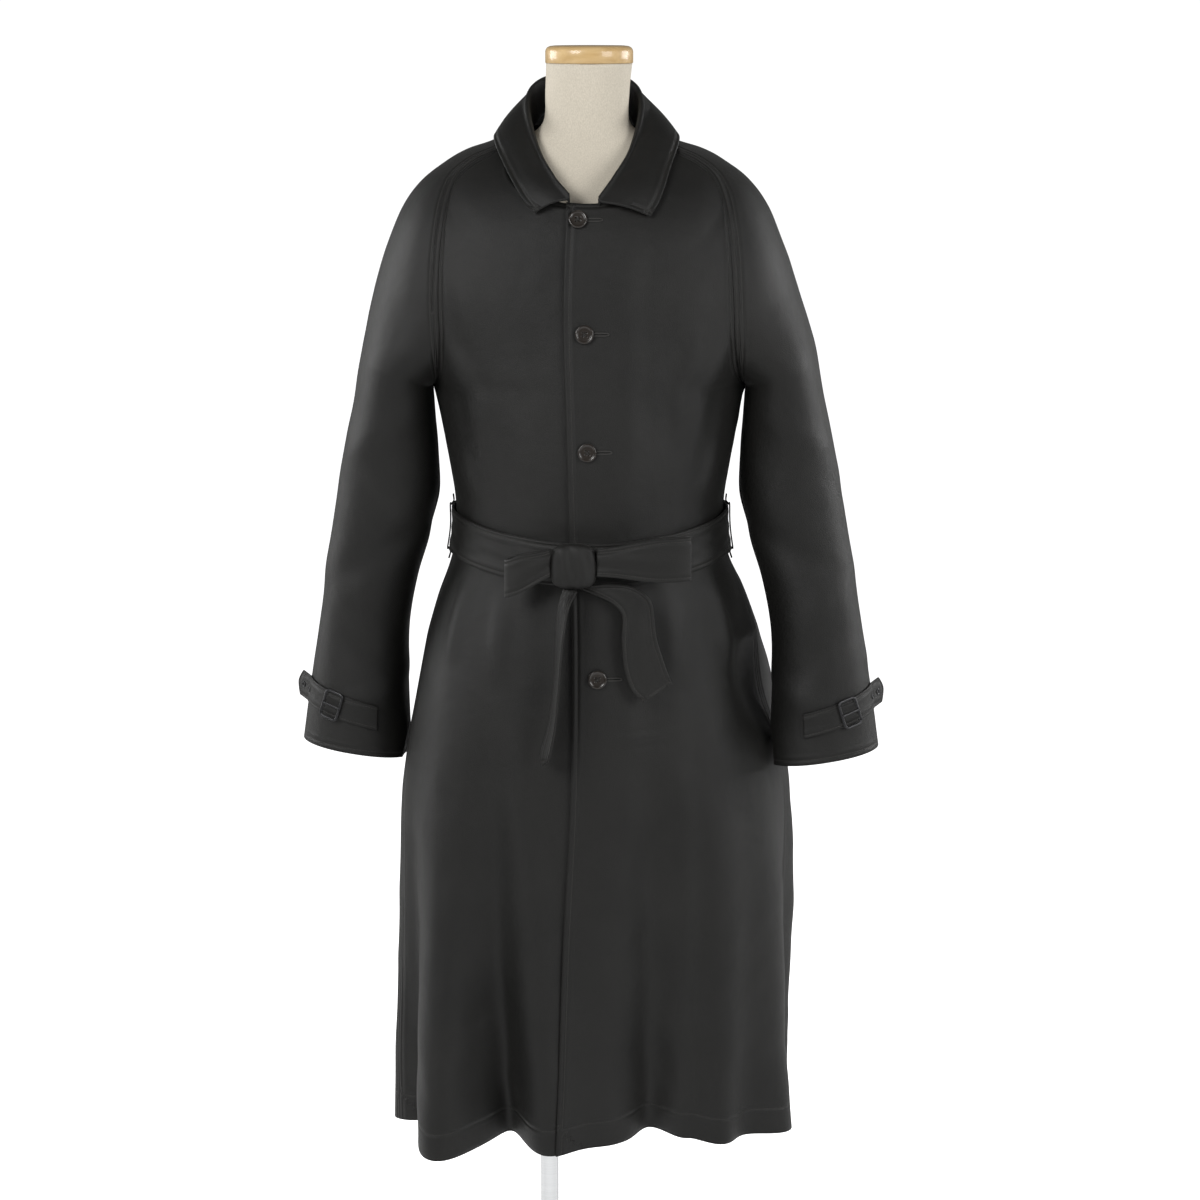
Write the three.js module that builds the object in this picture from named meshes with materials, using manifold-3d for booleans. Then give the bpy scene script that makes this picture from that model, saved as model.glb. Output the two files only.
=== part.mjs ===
// Shepherd coat standing on a limbless dress form. Millimetres, +Z up, -Y is the front.
// X+ is the wearer's left. The origin is the middle of the base's underside.
import * as THREE from 'three';
import { mergeVertices } from 'three/addons/utils/BufferGeometryUtils.js';
import Module from 'manifold-3d';

const wasm = await Module();
wasm.setup();
const { Manifold, Mesh: SolidMesh } = wasm;

// ---- driving sizes -------------------------------------------------------------------
const CLOTH = 2.0;            // wall of one layer of coat cloth
const SEAM_GAP = 0.25;        // each side of a seam draws back by this much
const HEM_Z = 318;            // mean height of the hem above the floor
const UNDERARM_Z = 1172;      // where side seam, sleeve seam and raglan seams meet
const OVERLAP_LIFT = 3.6;     // the wearer's left front lies this far outside the right front
const UNDERLAP_X = 36;        // hidden edge of the wearer's right front
const NECK_Z = 1379;          // front neck point
const ARM_CLEAR = 6;          // the hanging sleeve keeps this far from the trunk
const BELT_WIDTH = 48;
const BELT_CLOTH = 2.8;
const BELT_CLEAR = 1.0;
const TAIL_CLOTH = 2.4;
const KNOT_X = -18;
const KNOT_HALF = 25;
const KNOT_DEEP = 12;
const COLLAR_LIFT = 7;        // the collar's outer edge lies this far off the fronts
const NECK_X = -4;            // axis of the neck
const STRAP_CLOTH = 1.8;
const STRAP_LIFT = 2.8;
const BUCKLE_W = 25;
const BUCKLE_H = 34;
const BUCKLE_BAR = 3;
const FORM_RISE = 8.9;       // lifts the form's shoulders up to the coat
const CAP_LEAN = 0;
const CAP_SEAT = 0.3;
const BUTTONS = [[-13, 1362], [-6, 1240], [-3, 1112], [8, 862]];
const BUTTON_R = 10.2;
const BUTTON_T = 3.4;
const STRAP_WIDTH = 27;
const CAP_R = 49;
const POLE_R = 10.5;
const POLE_X = -48;
const BASE_R = 165;
const BASE_T = 12;
const DEG = Math.PI / 180;

const COAT = { color: 0x1c1b19, roughness: 0.62, metalness: 0.0 };
const HORN = { color: 0x15120f, roughness: 0.35, metalness: 0.0 };
const BLACK_METAL = { color: 0x1a1a1a, roughness: 0.3, metalness: 0.8 };
const LINEN = { color: 0xd2c9b8, roughness: 0.9, metalness: 0.0 };
const WOOD = { color: 0xdcc08c, roughness: 0.4, metalness: 0.0 };
const CHROME = { color: 0xc8c8c8, roughness: 0.15, metalness: 1.0 };

// ---- small tables --------------------------------------------------------------------
// Trunk rings: height, middle x, half width on the wearer's right and left, depth to the
// front and to the back, how far back the right and left flanks sit.
const TRUNK = [
  //  z   mid  right left front back yR   yL
  [300, 0, 220, 220, 132, 150, -10, 42],
  [400, 0, 221, 223, 142, 150, -12, 42],
  [500, 0, 218, 229, 150, 150, -15, 42],
  [600, 0, 216, 233, 157, 148, -22, 42],
  [700, 0, 214, 230, 161, 145, -28, 42],
  [800, 0, 203, 217, 162, 141, -28, 38],
  [880, 0, 188, 196, 159, 136, -18, 25],
  [930, 0, 174, 178, 155, 130, -8, 12],
  [975, 0, 158, 158, 150, 122, 0, 2],
  [1010, 0, 152, 152, 148, 119, 0, 0],
  [1045, 0, 153, 152, 149, 119, 0, 0],
  [1090, 0, 160, 159, 150, 122, -3, -3],
  [1135, -1, 167, 166, 148, 123, -7, -7],
  [1172, -2, 177, 175, 145, 123, -10, -10],
  [1195, -2, 196, 194, 143, 122, -8, -8],
  [1232, -3, 214, 212, 139, 119, -4, -4],
  [1290, -4, 226, 224, 133, 113, 0, 0],
  [1340, -4, 222, 220, 123, 104, 2, 2],
  [1373, -4, 207, 205, 110, 95, 4, 4],
  [1401, -4, 182, 180, 93, 84, 6, 6],
  [1423, -4, 152, 150, 72, 76, 8, 8],
  [1442, -4, 110, 108, 50, 66, 8, 8],
  [1456, -4, 82, 80, 34, 60, 8, 8],
  [1475, -4, 66, 64, 30, 56, 8, 8],
];
const TRUNK_SQUARE = 2.3;

// Hanging folds: angle at their top and at the hem, half width, how far out they stand at
// the hem, and the height they start from. Angle 0 is the front, + is the wearer's left.
const FOLDS = [
  // top  hem  wide  out  start
  [-45, -42, 12, 56, 960],
  [-31, -26, 7, -40, 900],
  [-27, -12, 8, 24, 950],
  [15, 20, 9, -40, 900],
  [26, 27, 4.5, 10, 900],
  [31, 31.5, 3, -8, 880],
  [38, 38, 7, 20, 920],
  [47, 60, 11, 36, 900],
  [-66, -68, 8, -22, 900],
  [-86, -86, 8, 8, 860],
  [79, 80, 8, -24, 900],
  [98, 98, 9, 14, 900],
  [118, 116, 8, -20, 900],
  [137, 135, 9, 30, 940],
  [154, 153, 8, -24, 900],
  [171, 171, 9, 26, 950],
  [190, 190, 8, -26, 900],
  [209, 210, 9, 28, 940],
  [229, 230, 8, -22, 900],
  [250, 250, 9, 16, 900],
];

// Short creases: angle and height at each end, half width (degrees), depth.
const CREASES = [
  // angle z    angle z    wide out
  [-47, 1330, -42, 1060, 5, 5],
  [-36, 1330, -33, 1200, 4, 3],
  [45, 1310, 41, 1070, 5, 5],
  [33, 1260, 36, 1100, 4, 3],
  [-58, 1120, -50, 1050, 5, 4],
  [56, 1130, 50, 1050, 5, 4],
  [135, 1320, 142, 1070, 6, 5],
  [225, 1320, 218, 1070, 6, 5],
  [176, 1260, 180, 1060, 6, -4],
  [-52, 968, -52, 860, 5, 6],
  [-34, 966, -30, 840, 4, 5],
  [30, 968, 28, 840, 5, 6],
  [52, 968, 50, 850, 4, 5],
  [110, 975, 112, 860, 6, 6],
  [150, 975, 148, 850, 6, 6],
  [205, 975, 206, 850, 6, 6],
  [245, 975, 246, 860, 6, 6],
  [66, 900, 70, 760, 16, -26],
  [-108, 900, -106, 770, 16, -12],
  [10, 792, 22, 800, 7, 4],
];

// Raglan seams of one side, wearer's left; share 0 is at the neck, 1 at the underarm.
const RAGLAN_FRONT = [
  // share x    y     z
  [0.0, 60, -28, 1451],
  [0.1, 100, -41, 1434],
  [0.2, 125, -49, 1422],
  [0.3, 142, -57, 1407],
  [0.4, 151, -70, 1386],
  [0.5, 157, -86, 1357],
  [0.6, 161, -98, 1318],
  [0.7, 163, -104, 1270],
  [0.8, 163, -100, 1228],
  [0.87, 165, -84, 1201],
  [0.94, 170, -48, 1181],
  [1.0, 176, -10, 1172],
];
const RAGLAN_BACK = [
  [0.0, 58, 50, 1460],
  [0.1, 92, 66, 1443],
  [0.2, 117, 76, 1425],
  [0.3, 137, 84, 1400],
  [0.4, 148, 92, 1366],
  [0.5, 156, 98, 1325],
  [0.6, 161, 101, 1282],
  [0.7, 163, 98, 1244],
  [0.8, 165, 86, 1214],
  [0.87, 168, 62, 1195],
  [0.94, 172, 26, 1179],
  [1.0, 176, -10, 1172],
];

// Sleeve ribs below the underarm: outer point and inner point, half depth front to back.
const ARM = [
  // share xOut zOut xIn zIn deep
  [0.0, 330, 762, 205, 742, 62],
  [0.1, 324, 805, 207, 789, 60],
  [0.2, 317, 852, 208, 838, 59],
  [0.32, 309, 908, 206, 898, 58],
  [0.44, 301, 960, 196, 952, 58],
  [0.55, 293, 1010, 182, 1004, 59],
  [0.66, 284, 1062, 171, 1052, 65],
  [0.77, 275, 1112, 171, 1100, 72],
  [0.89, 265, 1160, 174, 1140, 82],
  [1.0, 257, 1205, 176, 1172, 90],
];
// How far back the arm hangs at each share: wearer's right and wearer's left.
const ARM_BACK = [
  [0.0, 20, -26],
  [0.3, 18, -22],
  [0.6, 4, -10],
  [0.8, -6, -9],
  [1.0, -10, -10],
];
// Top line of the sleeve over the shoulder; share as on the raglan seams.
const SHOULDER = [
  // share x   y   z
  [0.0, 61, 12, 1464],
  [0.1, 102, 12, 1445],
  [0.2, 132, 12, 1435],
  [0.3, 158, 12, 1421],
  [0.4, 184, 10, 1401],
  [0.5, 206, 8, 1371],
  [0.6, 222, 5, 1332],
  [0.7, 235, 2, 1292],
  [0.8, 245, -2, 1256],
  [0.87, 250, -5, 1236],
  [0.94, 254, -8, 1220],
  [1.0, 257, -10, 1205],
];
// Sleeve creases: share along the arm, angle round it, rise with angle, width, depth.
const ARM_CREASES = [
  // share round slant wide out
  [0.62, -120, 0.10, 0.05, 4],
  [0.50, -95, -0.08, 0.05, -4],
  [0.40, -60, 0.07, 0.05, 3],
  [0.24, -110, 0.06, 0.04, -3],
  [0.16, -120, -0.05, 0.035, 3],
  [0.56, 110, 0.08, 0.05, 4],
  [0.36, 90, -0.07, 0.05, -4],
  [0.80, -70, -0.10, 0.06, 3],
  [0.82, 80, 0.10, 0.06, 3],
];

// Front edge of the wearer's left front, by height.
const FRONT_EDGE = [
  [300, -39], [400, -35], [556, -30], [727, -22], [895, -20],
  [1060, -24], [1169, -27], [1277, -29], [1400, -25],
];

// Collar, from the wearer's right front round to the left: x y z of its fold and outer edge.
const COLLAR = [
  // round  fold               edge
  [-1.0, -22, -111, 1391, -60, -136, 1371],
  [-0.86, -38, -93, 1410, -74, -121, 1386],
  [-0.7, -55, -54, 1440, -93, -78, 1417],
  [-0.5, -67, 2, 1487, -107, -14, 1452],
  [-0.25, -52, 56, 1512, -76, 86, 1453],
  [0.0, -6, 74, 1518, -6, 106, 1449],
  [0.25, 40, 56, 1512, 66, 86, 1453],
  [0.5, 54, 2, 1487, 99, -14, 1452],
  [0.7, 43, -54, 1440, 88, -80, 1416],
  [0.86, 25, -93, 1410, 77, -121, 1385],
  [1.0, 9, -113, 1388, 66, -138, 1367],
];

// ---- number helpers ------------------------------------------------------------------
const mix = (a, b, t) => a + (b - a) * t;
const clamp = (v, lo, hi) => Math.min(hi, Math.max(lo, v));
const smooth = (t) => {
  const c = clamp(t, 0, 1);
  return c * c * (3 - 2 * c);
};
const V = (x, y, z) => new THREE.Vector3(x, y, z);

// Reads a table at one value of its first column, with a smooth curve through the rows.
function look(table, at) {
  const n = table.length;
  const x = clamp(at, table[0][0], table[n - 1][0]);
  let i = 0;
  while (i < n - 2 && x > table[i + 1][0]) i += 1;
  const [p, q] = [table[i], table[i + 1]];
  const h = q[0] - p[0];
  const t = (x - p[0]) / h;
  const before = table[Math.max(i - 1, 0)];
  const after = table[Math.min(i + 2, n - 1)];
  return p.slice(1).map((_, k) => {
    const m0 = (q[k + 1] - before[k + 1]) / (q[0] - before[0]);
    const m1 = (after[k + 1] - p[k + 1]) / (after[0] - p[0]);
    const t2 = t * t;
    const t3 = t2 * t;
    return (2 * t3 - 3 * t2 + 1) * p[k + 1] + (t3 - 2 * t2 + t) * h * m0
      + (3 * t2 - 2 * t3) * q[k + 1] + (t3 - t2) * h * m1;
  });
}
const point = (row) => V(row[0], row[1], row[2]);

// ---- the trunk of the coat -----------------------------------------------------------
// Bare ring point: a squared ellipse whose half width and depth change side to side.
function ring(angle, z) {
  const [mid, right, left, front, back, yR, yL] = look(TRUNK, z);
  const s = Math.sin(angle);
  const c = Math.cos(angle);
  const wide = (left + right) / 2 + (left - right) / 2 * s;
  const deep = (front + back) / 2 + (front - back) / 2 * c;
  const flank = ((yL + yR) / 2 + (yL - yR) / 2 * s) * s * s;
  const e = TRUNK_SQUARE;
  const r = (Math.abs(s) ** e + Math.abs(c) ** e) ** (-1 / e);
  return V(mid + wide * s * r, flank - deep * c * r, z);
}

const wrap = (a) => a - 360 * Math.round(a / 360);

// How far the cloth stands out of the bare ring: long folds plus short creases.
function relief(angle, z) {
  const deg = angle / DEG;
  let out = 0;
  for (const [top, hem, wide, amount, start] of FOLDS) {
    const down = clamp((start - z) / (start - HEM_Z), 0, 1.05);
    const middle = mix(top, hem, down);
    const off = wrap(deg - middle) / wide;
    out += amount * down ** 1.5 * Math.exp(-off * off);
  }
  for (const [a0, z0, a1, z1, wide, amount] of CREASES) {
    const t = clamp((z - z0) / (z1 - z0), 0, 1);
    const past = (z - mix(z0, z1, t)) / 30;
    const off = wrap(deg - mix(a0, a1, t)) / wide;
    const fade = Math.sin(Math.PI * clamp(t, 0.06, 0.94));
    out += amount * fade * Math.exp(-off * off - past * past);
  }
  return out;
}

function ringNormal(angle, z) {
  const across = ring(angle + 0.02, z).sub(ring(angle - 0.02, z));
  const up = ring(angle, z + 4).sub(ring(angle, z - 4));
  return across.cross(up).normalize();
}

// Point of the coat's outer face, with an extra lift off the cloth.
function trunk(angle, z, lift = 0) {
  return ring(angle, z).addScaledVector(ringNormal(angle, z), relief(angle, z) + lift);
}

// The angle whose ring point lies towards (x, y) at this height.
function angleOf(x, y, z) {
  const [mid, right, left, front, back, yR, yL] = look(TRUNK, z);
  let a = Math.atan2(x - mid, -y);
  for (let i = 0; i < 12; i += 1) {
    const s = Math.sin(a);
    const wide = (left + right) / 2 + (left - right) / 2 * s;
    const deep = (front + back) / 2 + (front - back) / 2 * Math.cos(a);
    const flank = ((yL + yR) / 2 + (yL - yR) / 2 * s) * s * s;
    a = Math.atan2((x - mid) / wide, -(y - flank) / deep);
  }
  return a;
}
// Angle at a given x on the front half.
function frontAngle(x, z) {
  let a = 0;
  for (let i = 0; i < 14; i += 1) {
    a += clamp((x - trunk(a, z).x) / 200, -0.3, 0.3);
  }
  return a;
}

const hemRise = (angle) => HEM_Z - 0.1 * relief(angle, HEM_Z);
const SIDE_ANGLE = 80 * DEG;
const sideAngle = (z) => mix(SIDE_ANGLE, 90 * DEG, smooth((z - 1000) / (UNDERARM_Z - 1000)));

// The seam point of one side; side is +1 for the wearer's left.
function seamPoint(table, share, side) {
  const p = point(look(table, share));
  return V(side * p.x - 4 * (1 - smooth((share - 0.6) / 0.4)) - 1, p.y, p.z);
}

// Lift that takes the wearer's left front outside the right front.
function overlapLift(x) {
  return OVERLAP_LIFT * smooth((70 - x) / 30);
}

// Rows of the panels: heights up the side seam, then shares up the raglan seam.
const SKIRT_ROWS = [0, 0.08, 0.17, 0.27, 0.37, 0.47, 0.56, 0.64, 0.71, 0.76, 0.81, 0.86,
  0.92, 0.965, 1];
const SEAM_ROWS = [0.94, 0.87, 0.8, 0.7, 0.6, 0.5, 0.4, 0.3, 0.2, 0.1, 0];

// Boundary of a panel at its side and raglan seam, with the front edge height of that row.
function seamRows(table, side) {
  const rows = [];
  for (const f of SKIRT_ROWS) {
    const angle0 = side * sideAngle(HEM_Z);
    const z0 = hemRise(angle0);
    const z = mix(z0, UNDERARM_Z, f);
    const angle = side * sideAngle(z);
    const end = seamPoint(table, 1, side);
    const p = trunk(angle, z);
    const pull = smooth((f - 0.9) / 0.1);
    p.lerp(end, pull);
    rows.push({ p, f, z, share: null });
  }
  for (const s of SEAM_ROWS) {
    const p = seamPoint(table, s, side);
    rows.push({ p, f: 1, z: p.z, share: s });
  }
  return rows;
}

// Height at which a front's row crosses the middle, and how it climbs to the side.
function frontHeight(row, angle, sideAngleOfRow) {
  const part = clamp(Math.abs(angle / sideAngleOfRow), 0, 1);
  if (row.share === null) return mix(hemRise(angle), mix(1150, UNDERARM_Z, part * part), row.f);
  return mix(mix(1150, NECK_Z, 1 - row.share), row.p.z, part ** (1.3 + 0.7 * (1 - row.share)));
}

// One front: its first columns lie at the front edge, the middle and the underlap line.
function frontGrid(side, columns, lifted) {
  return seamRows(RAGLAN_FRONT, side).map((row) => {
    const zMiddle = frontHeight(row, 0, 1);
    const xEdge = look(FRONT_EDGE, zMiddle)[0];
    const first = lifted ? [xEdge, 4, UNDERLAP_X] : [UNDERLAP_X, 4, xEdge];
    const a0 = frontAngle(first[2], zMiddle);
    const a1 = angleOf(row.p.x, row.p.y, row.p.z);
    const miss = row.p.clone().sub(trunk(a1, row.p.z));
    const angles = first.slice(0, 2).map((x) => frontAngle(x, zMiddle));
    columns.forEach((u) => angles.push(mix(a0, a1, u)));
    return angles.map((angle, j) => {
      const z = j === angles.length - 1 ? row.p.z : frontHeight(row, angle, a1);
      const p = trunk(angle, z);
      const near = Math.max(0, j - 2) / (angles.length - 3);
      if (lifted) p.addScaledVector(ringNormal(angle, z), overlapLift(p.x) * (1 - near));
      return p.addScaledVector(miss, near ** 3);
    });
  });
}

// The back: one piece from side seam to side seam.
function backGrid(columns) {
  const lefts = seamRows(RAGLAN_BACK, 1);
  const rights = seamRows(RAGLAN_BACK, -1);
  return lefts.map((row, i) => {
    const other = rights[i];
    const a0 = angleOf(row.p.x, row.p.y, row.p.z);
    const a1 = angleOf(other.p.x, other.p.y, other.p.z) + 2 * Math.PI;
    const miss0 = row.p.clone().sub(trunk(a0, row.p.z));
    const miss1 = other.p.clone().sub(trunk(a1, other.p.z));
    return columns.map((u) => {
      const angle = mix(a0, a1, u);
      let z = mix(row.p.z, other.p.z, u);
      if (row.share === null) {
        z = mix(hemRise(angle), UNDERARM_Z, row.f);
      } else {
        z += (1 - row.share) * 6 * Math.sin(Math.PI * u);
      }
      const p = trunk(angle, z);
      p.addScaledVector(miss0, clamp(1 - 3 * u, 0, 1) ** 2);
      p.addScaledVector(miss1, clamp(3 * u - 2, 0, 1) ** 2);
      return p;
    });
  });
}

// ---- sleeves -------------------------------------------------------------------------
const ARM_ROWS = [0, 0.08, 0.16, 0.24, 0.34, 0.44, 0.54, 0.64, 0.74, 0.84, 0.92, 1];

// One rib of a sleeve: a loop that opens where its ends leave for the raglan seams.
function rib(outer, front, back, deep, round) {
  const middle = front.clone().add(back).multiplyScalar(0.5);
  const half = Math.abs(back.y - front.y) / 2;
  const depth = Math.max(deep, half * 1.0001);
  const k = half / depth;
  const open = Math.PI - Math.asin(k);
  const lean = Math.sqrt(1 - k * k);
  const reach = outer.clone().sub(middle).multiplyScalar(1 / (1 + lean));
  const centre = outer.clone().sub(reach);
  const phi = round * open;
  const n = 2.15;
  const c = Math.cos(phi);
  const s = Math.sin(phi);
  const r = (Math.abs(c) ** n + Math.abs(s) ** n) ** (-1 / n);
  const p = centre.clone().addScaledVector(reach, c * r);
  p.y += depth * s * r;
  const ce = Math.cos(open);
  const se = Math.sin(open);
  const re = (Math.abs(ce) ** n + Math.abs(se) ** n) ** (-1 / n);
  const end = centre.clone().addScaledVector(reach, ce * re);
  end.y += Math.sign(round) * depth * se * re;
  const aim = round < 0 ? front : back;
  return p.addScaledVector(aim.clone().sub(end), Math.abs(round) ** 3);
}

// Moves a point of the arm out of the trunk, where the sleeve lies against the skirt.
function offTrunk(p, clear) {
  const z = Math.min(p.z, 1120);
  const angle = angleOf(p.x, p.y, z);
  const skin = trunk(angle, z);
  const n = ringNormal(angle, z);
  const depth = p.clone().sub(skin).dot(n);
  return depth < clear ? p.addScaledVector(n, clear - depth) : p;
}

function sleevePoint(side, share, raglan, round) {
  if (raglan === null) {
    const [xo, zo, xi, zi, deep] = look(ARM, share);
    const [br, bl] = look(ARM_BACK, share);
    const y = side > 0 ? bl : br;
    const shift = -1;
    const outer = V(side * xo + shift, y, zo);
    const inner = V(side * xi + shift, y, zi);
    const p = rib(outer, inner, inner, deep, round);
    const axis = outer.clone().add(inner).multiplyScalar(0.5);
    const out = p.clone().sub(axis).normalize();
    let d = 0;
    for (const [at, turn, slant, wide, amount] of ARM_CREASES) {
      const swing = (round * 180 - turn) / 60;
      const off = (share - at - slant * swing) / wide;
      d += amount * Math.exp(-off * off - swing * swing);
    }
    p.addScaledVector(out, d * smooth(share / 0.1) * smooth((1 - share) / 0.2));
    return offTrunk(p, ARM_CLEAR * smooth((1 - share) / 0.15));
  }
  const [x, y, z] = look(SHOULDER, raglan);
  const outer = V(side * x - 4 * (1 - smooth((raglan - 0.6) / 0.4)) - 1, y, z);
  const front = seamPoint(RAGLAN_FRONT, raglan, side);
  const back = seamPoint(RAGLAN_BACK, raglan, side);
  const deep = raglan > 0.7 ? mix(90, 101, (1 - raglan) / 0.3) : 30;
  return rib(outer, front, back, deep, round);
}

function sleeveGrid(side, columns) {
  const rows = ARM_ROWS.map((share) => columns.map((c) => sleevePoint(side, share, null, c)));
  for (const s of SEAM_ROWS) rows.push(columns.map((c) => sleevePoint(side, null, s, c)));
  return rows;
}

// ---- turning grids into cloth --------------------------------------------------------
function gridNormals(grid) {
  const R = grid.length;
  const C = grid[0].length;
  return grid.map((row, i) => row.map((_, j) => {
    const across = grid[i][Math.min(j + 1, C - 1)].clone().sub(grid[i][Math.max(j - 1, 0)]);
    const up = grid[Math.min(i + 1, R - 1)][j].clone().sub(grid[Math.max(i - 1, 0)][j]);
    return across.cross(up).normalize();
  }));
}

// Draws one boundary column back from the seam, square to it, and more so near the corner
// row where four pieces meet.
function drawBack(grid, column, inward, corner) {
  const moves = grid.map((row, i) => {
    const p = row[column];
    const toward = row[column + inward].clone().sub(p);
    const lo = grid[Math.max(i - 1, 0)][column];
    const hi = grid[Math.min(i + 1, grid.length - 1)][column];
    const along = hi.clone().sub(lo).normalize();
    toward.addScaledVector(along, -toward.dot(along)).normalize();
    const more = 1 + 2.4 * Math.exp(-(((i - corner) / 1.6) ** 2));
    return toward.multiplyScalar(SEAM_GAP * more);
  });
  grid.forEach((row, i) => row[column].add(moves[i]));
}

// Closed wall from a grid of outer points and normals: inner face is wall behind it.
function slab(grid, normals, wall) {
  const R = grid.length;
  const C = grid[0].length;
  const positions = [];
  const put = (p) => positions.push(p.x, p.y, p.z);
  grid.forEach((row) => row.forEach(put));
  grid.forEach((row, i) => row.forEach((p, j) => {
    put(p.clone().addScaledVector(normals[i][j], -wall));
  }));
  const at = (i, j, layer) => layer * R * C + i * C + j;
  const index = [];
  const quad = (a, b, c, d) => index.push(a, b, c, a, c, d);
  for (let i = 0; i < R - 1; i += 1) {
    for (let j = 0; j < C - 1; j += 1) {
      quad(at(i, j, 0), at(i, j + 1, 0), at(i + 1, j + 1, 0), at(i + 1, j, 0));
      quad(at(i, j, 1), at(i + 1, j, 1), at(i + 1, j + 1, 1), at(i, j + 1, 1));
    }
  }
  for (let j = 0; j < C - 1; j += 1) {
    quad(at(0, j, 1), at(0, j + 1, 1), at(0, j + 1, 0), at(0, j, 0));
    quad(at(R - 1, j, 0), at(R - 1, j + 1, 0), at(R - 1, j + 1, 1), at(R - 1, j, 1));
  }
  for (let i = 0; i < R - 1; i += 1) {
    quad(at(i, 0, 0), at(i + 1, 0, 0), at(i + 1, 0, 1), at(i, 0, 1));
    quad(at(i, C - 1, 1), at(i + 1, C - 1, 1), at(i + 1, C - 1, 0), at(i, C - 1, 0));
  }
  return outward(positions, index);
}

// A geometry facing out: turned round if its volume comes out negative.
function outward(positions, index) {
  let volume = 0;
  for (let i = 0; i < index.length; i += 3) {
    const [a, b, c] = [0, 1, 2].map((k) => V(...positions.slice(3 * index[i + k], 3 * index[i + k] + 3)));
    volume += a.dot(b.cross(c));
  }
  if (volume < 0) {
    for (let i = 0; i < index.length; i += 3) {
      [index[i + 1], index[i + 2]] = [index[i + 2], index[i + 1]];
    }
  }
  const g = new THREE.BufferGeometry();
  g.setAttribute('position', new THREE.Float32BufferAttribute(positions, 3));
  g.setIndex(index);
  g.computeVertexNormals();
  return g;
}

const group = new THREE.Group();
function add(name, geometry, look3) {
  const mesh = new THREE.Mesh(geometry, new THREE.MeshStandardMaterial(look3));
  mesh.name = name;
  group.add(mesh);
  return mesh;
}

const spread = (n) => Array.from({ length: n + 1 }, (_, i) => i / n);

// ---- panels and sleeves --------------------------------------------------------------
const LEFT_COLUMNS = [0, 0.1, 0.2, 0.3, 0.4, 0.5, 0.6, 0.7, 0.8, 0.9, 1];
const RIGHT_COLUMNS = [0, 0.11, 0.22, 0.33, 0.44, 0.55, 0.66, 0.77, 0.88, 1];
const frontLeft = frontGrid(1, LEFT_COLUMNS, true);
const frontRight = frontGrid(-1, RIGHT_COLUMNS, false);
const back = backGrid(spread(16));
const ROUND = spread(16).map((t) => 2 * t - 1);
const sleeveLeft = sleeveGrid(1, ROUND);
const sleeveRight = sleeveGrid(-1, ROUND);

const nFL = gridNormals(frontLeft);
const nFR = gridNormals(frontRight);
const nB = gridNormals(back);
const nSL = gridNormals(sleeveLeft);
const nSR = gridNormals(sleeveRight);

const trunkAxis = (p) => V(0, 0, Math.min(p.z, 1300));
const armAxis = (side) => (p) => {
  if (p.z < 1180) return V(side * mix(267, 220, smooth((p.z - 750) / 430)), 0, p.z);
  return V(side * Math.min(Math.abs(p.x), 190), 10, Math.min(p.z - 30, 1250));
};
// A grid keeps one sense of turning, so one vote settles the whole piece.
function settle(grid, normals, axis) {
  let vote = 0;
  grid.forEach((row, i) => row.forEach((p, j) => {
    vote += Math.sign(normals[i][j].dot(p.clone().sub(axis(p))));
  }));
  if (vote < 0) normals.forEach((row) => row.forEach((n) => n.negate()));
}
settle(frontLeft, nFL, trunkAxis);
settle(frontRight, nFR, trunkAxis);
settle(back, nB, trunkAxis);
settle(sleeveLeft, nSL, armAxis(1));
settle(sleeveRight, nSR, armAxis(-1));

// Pieces that meet at a seam share one normal there, so their walls stay side by side.
function shareNormals(lists) {
  const rows = lists[0].length;
  for (let i = 0; i < rows; i += 1) {
    const sum = V(0, 0, 0);
    lists.forEach((list) => sum.add(list[i]));
    sum.normalize();
    lists.forEach((list) => list[i].copy(sum));
  }
}
const K = SKIRT_ROWS.length;
const A = ARM_ROWS.length;
const last = (grid) => grid[0].length - 1;
const column = (normals, j, from, to) => normals.slice(from, to).map((row) => row[j]);
const END = K + SEAM_ROWS.length;
// side seams
shareNormals([column(nFL, last(nFL), 0, K - 1), column(nB, 0, 0, K - 1)]);
shareNormals([column(nFR, last(nFR), 0, K - 1), column(nB, last(nB), 0, K - 1)]);
// raglan seams
shareNormals([column(nFL, last(nFL), K, END), column(nSL, 0, A, A + SEAM_ROWS.length)]);
shareNormals([column(nB, 0, K, END), column(nSL, last(nSL), A, A + SEAM_ROWS.length)]);
shareNormals([column(nFR, last(nFR), K, END), column(nSR, 0, A, A + SEAM_ROWS.length)]);
shareNormals([column(nB, last(nB), K, END), column(nSR, last(nSR), A, A + SEAM_ROWS.length)]);
// sleeve seams
shareNormals([column(nSL, 0, 0, A - 1), column(nSL, last(nSL), 0, A - 1)]);
shareNormals([column(nSR, 0, 0, A - 1), column(nSR, last(nSR), 0, A - 1)]);
// underarm points, where four walls come together
function underarm(front, backEnd, sleeve) {
  const n = V(0, 0, 0);
  [front, backEnd, ...sleeve].forEach((v) => n.add(v));
  n.normalize();
  [front, backEnd, ...sleeve].forEach((v) => v.copy(n));
}
underarm(nFL[K - 1][last(nFL)], nB[K - 1][0], [nSL[A - 1][0], nSL[A - 1][last(nSL)]]);
underarm(nFR[K - 1][last(nFR)], nB[K - 1][last(nB)], [nSR[A - 1][0], nSR[A - 1][last(nSR)]]);

drawBack(frontLeft, last(frontLeft), -1, K - 1);
drawBack(frontRight, last(frontRight), -1, K - 1);
drawBack(back, 0, 1, K - 1);
drawBack(back, last(back), -1, K - 1);
[sleeveLeft, sleeveRight].forEach((g) => {
  drawBack(g, 0, 1, A - 1);
  drawBack(g, last(g), -1, A - 1);
});

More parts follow.
